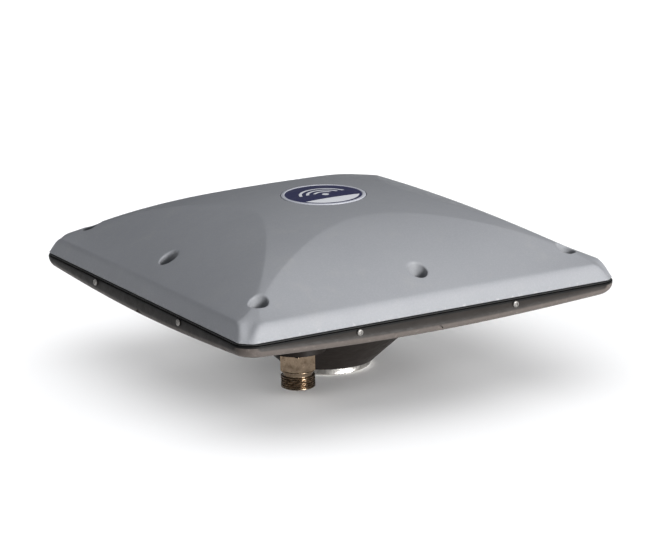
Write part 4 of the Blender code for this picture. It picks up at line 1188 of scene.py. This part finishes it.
def make_world():
    """Dim daylight that grows stronger from the horizon upwards."""
    world = bpy.data.worlds.new("studio")
    bpy.context.scene.world = world
    world.use_nodes = True
    tree = world.node_tree
    direction = tree.nodes.new("ShaderNodeTexCoord")
    split = tree.nodes.new("ShaderNodeSeparateXYZ")
    ramp = tree.nodes.new("ShaderNodeMapRange")
    for key, value in {"From Min": 0.0, "From Max": 0.8, "To Min": 0.1, "To Max": 0.34}.items():
        ramp.inputs[key].default_value = value
    tree.links.new(direction.outputs["Generated"], split.inputs[0])
    tree.links.new(split.outputs[2], ramp.inputs["Value"])
    tree.links.new(ramp.outputs[0], tree.nodes["Background"].inputs["Strength"])
    tree.nodes["Background"].inputs["Color"].default_value = (0.93, 0.95, 1.0, 1.0)


def make_camera():
    """A long lens from the front left, a little above; the object's centre sits below the frame's."""
    azimuth, elevation, roll = math.radians(-30.318), math.radians(15.013), math.radians(-1.047)
    distance = 14.8256 * HALF * MM
    across, up_by = 0.0018 * HALF * MM, -0.0202 * HALF * MM
    back = Vector((
        math.sin(azimuth) * math.cos(elevation),
        -math.cos(azimuth) * math.cos(elevation),
        math.sin(elevation),
    ))
    level = Vector((math.cos(azimuth), math.sin(azimuth), 0.0))
    steep = back.cross(level)
    right = math.cos(roll) * level + math.sin(roll) * steep
    up = math.cos(roll) * steep - math.sin(roll) * level
    data = bpy.data.cameras.new("camera")
    data.sensor_width = 36.0
    data.lens = 173.69
    camera = bpy.data.objects.new("camera", data)
    bpy.context.scene.collection.objects.link(camera)
    place = back * distance + right * across + up * up_by + Vector((0.0, 0.0, PARTING_Z * MM))
    camera.matrix_world = Matrix.Translation(place) @ Matrix((right, up, back)).transposed().to_4x4()
    bpy.context.scene.camera = camera
    bpy.context.scene.view_settings.view_transform = "Standard"


# --- assembly ---


def remove_startup_objects():
    for obj in list(bpy.context.scene.objects):
        if obj.type in ("CAMERA", "LIGHT") or obj.name == "Cube":
            bpy.data.objects.remove(obj)


remove_startup_objects()
dark_rubber = rubber_look()
steel = metal_look("plain_steel_look", (0.42, 0.41, 0.4), (0.18, 0.17, 0.16), 0.36, turned=(0.0, 0.0))
dull = metal_look("dull_steel_look", (0.26, 0.25, 0.24), (0.12, 0.11, 0.1), 0.46)
bright = metal_look("bright_steel_look", (0.42, 0.405, 0.385), (0.2, 0.185, 0.165), 0.26, turned=(0.0, 0.0))
bronze = metal_look("jack_bronze_look", (0.27, 0.205, 0.145), (0.075, 0.05, 0.032), 0.22, tarnish=0.9)
gold = metal_look("contact_gold_look", (0.86, 0.62, 0.26), (0.6, 0.42, 0.2), 0.25)
white = plastic_look("insulator_white_look", (0.8, 0.79, 0.75), (0.7, 0.68, 0.63), 0.45)

make_radome(radome_look())
make_badge(badge_look())
make_gasket(dark_rubber)
tray = make_base(base_look())
insert = make_insert(bright)
make_screws(steel, dull, dark_rubber)
make_jack(bronze, dark_rubber, white, gold)
rolled = (1.0, 0.05, 1.0)
dress_cad_nodes({
    "sheet": metal_look("sheet_aluminium_look", (0.78, 0.79, 0.8), (0.55, 0.55, 0.55), 0.34, grain=rolled),
    "laminate": laminate_look(),
    "copper": metal_look("copper_look", (0.78, 0.42, 0.27), (0.45, 0.24, 0.16), 0.28),
    "tin": metal_look("tin_plate_look", (0.68, 0.68, 0.66), (0.45, 0.45, 0.43), 0.36),
    "steel": steel,
    "bronze": bronze,
    "cable": rubber_look("cable_jacket_look", (0.018, 0.018, 0.019), (0.06, 0.058, 0.055)),
})
make_lights(make_floor(), [tray, insert])
make_world()
make_camera()
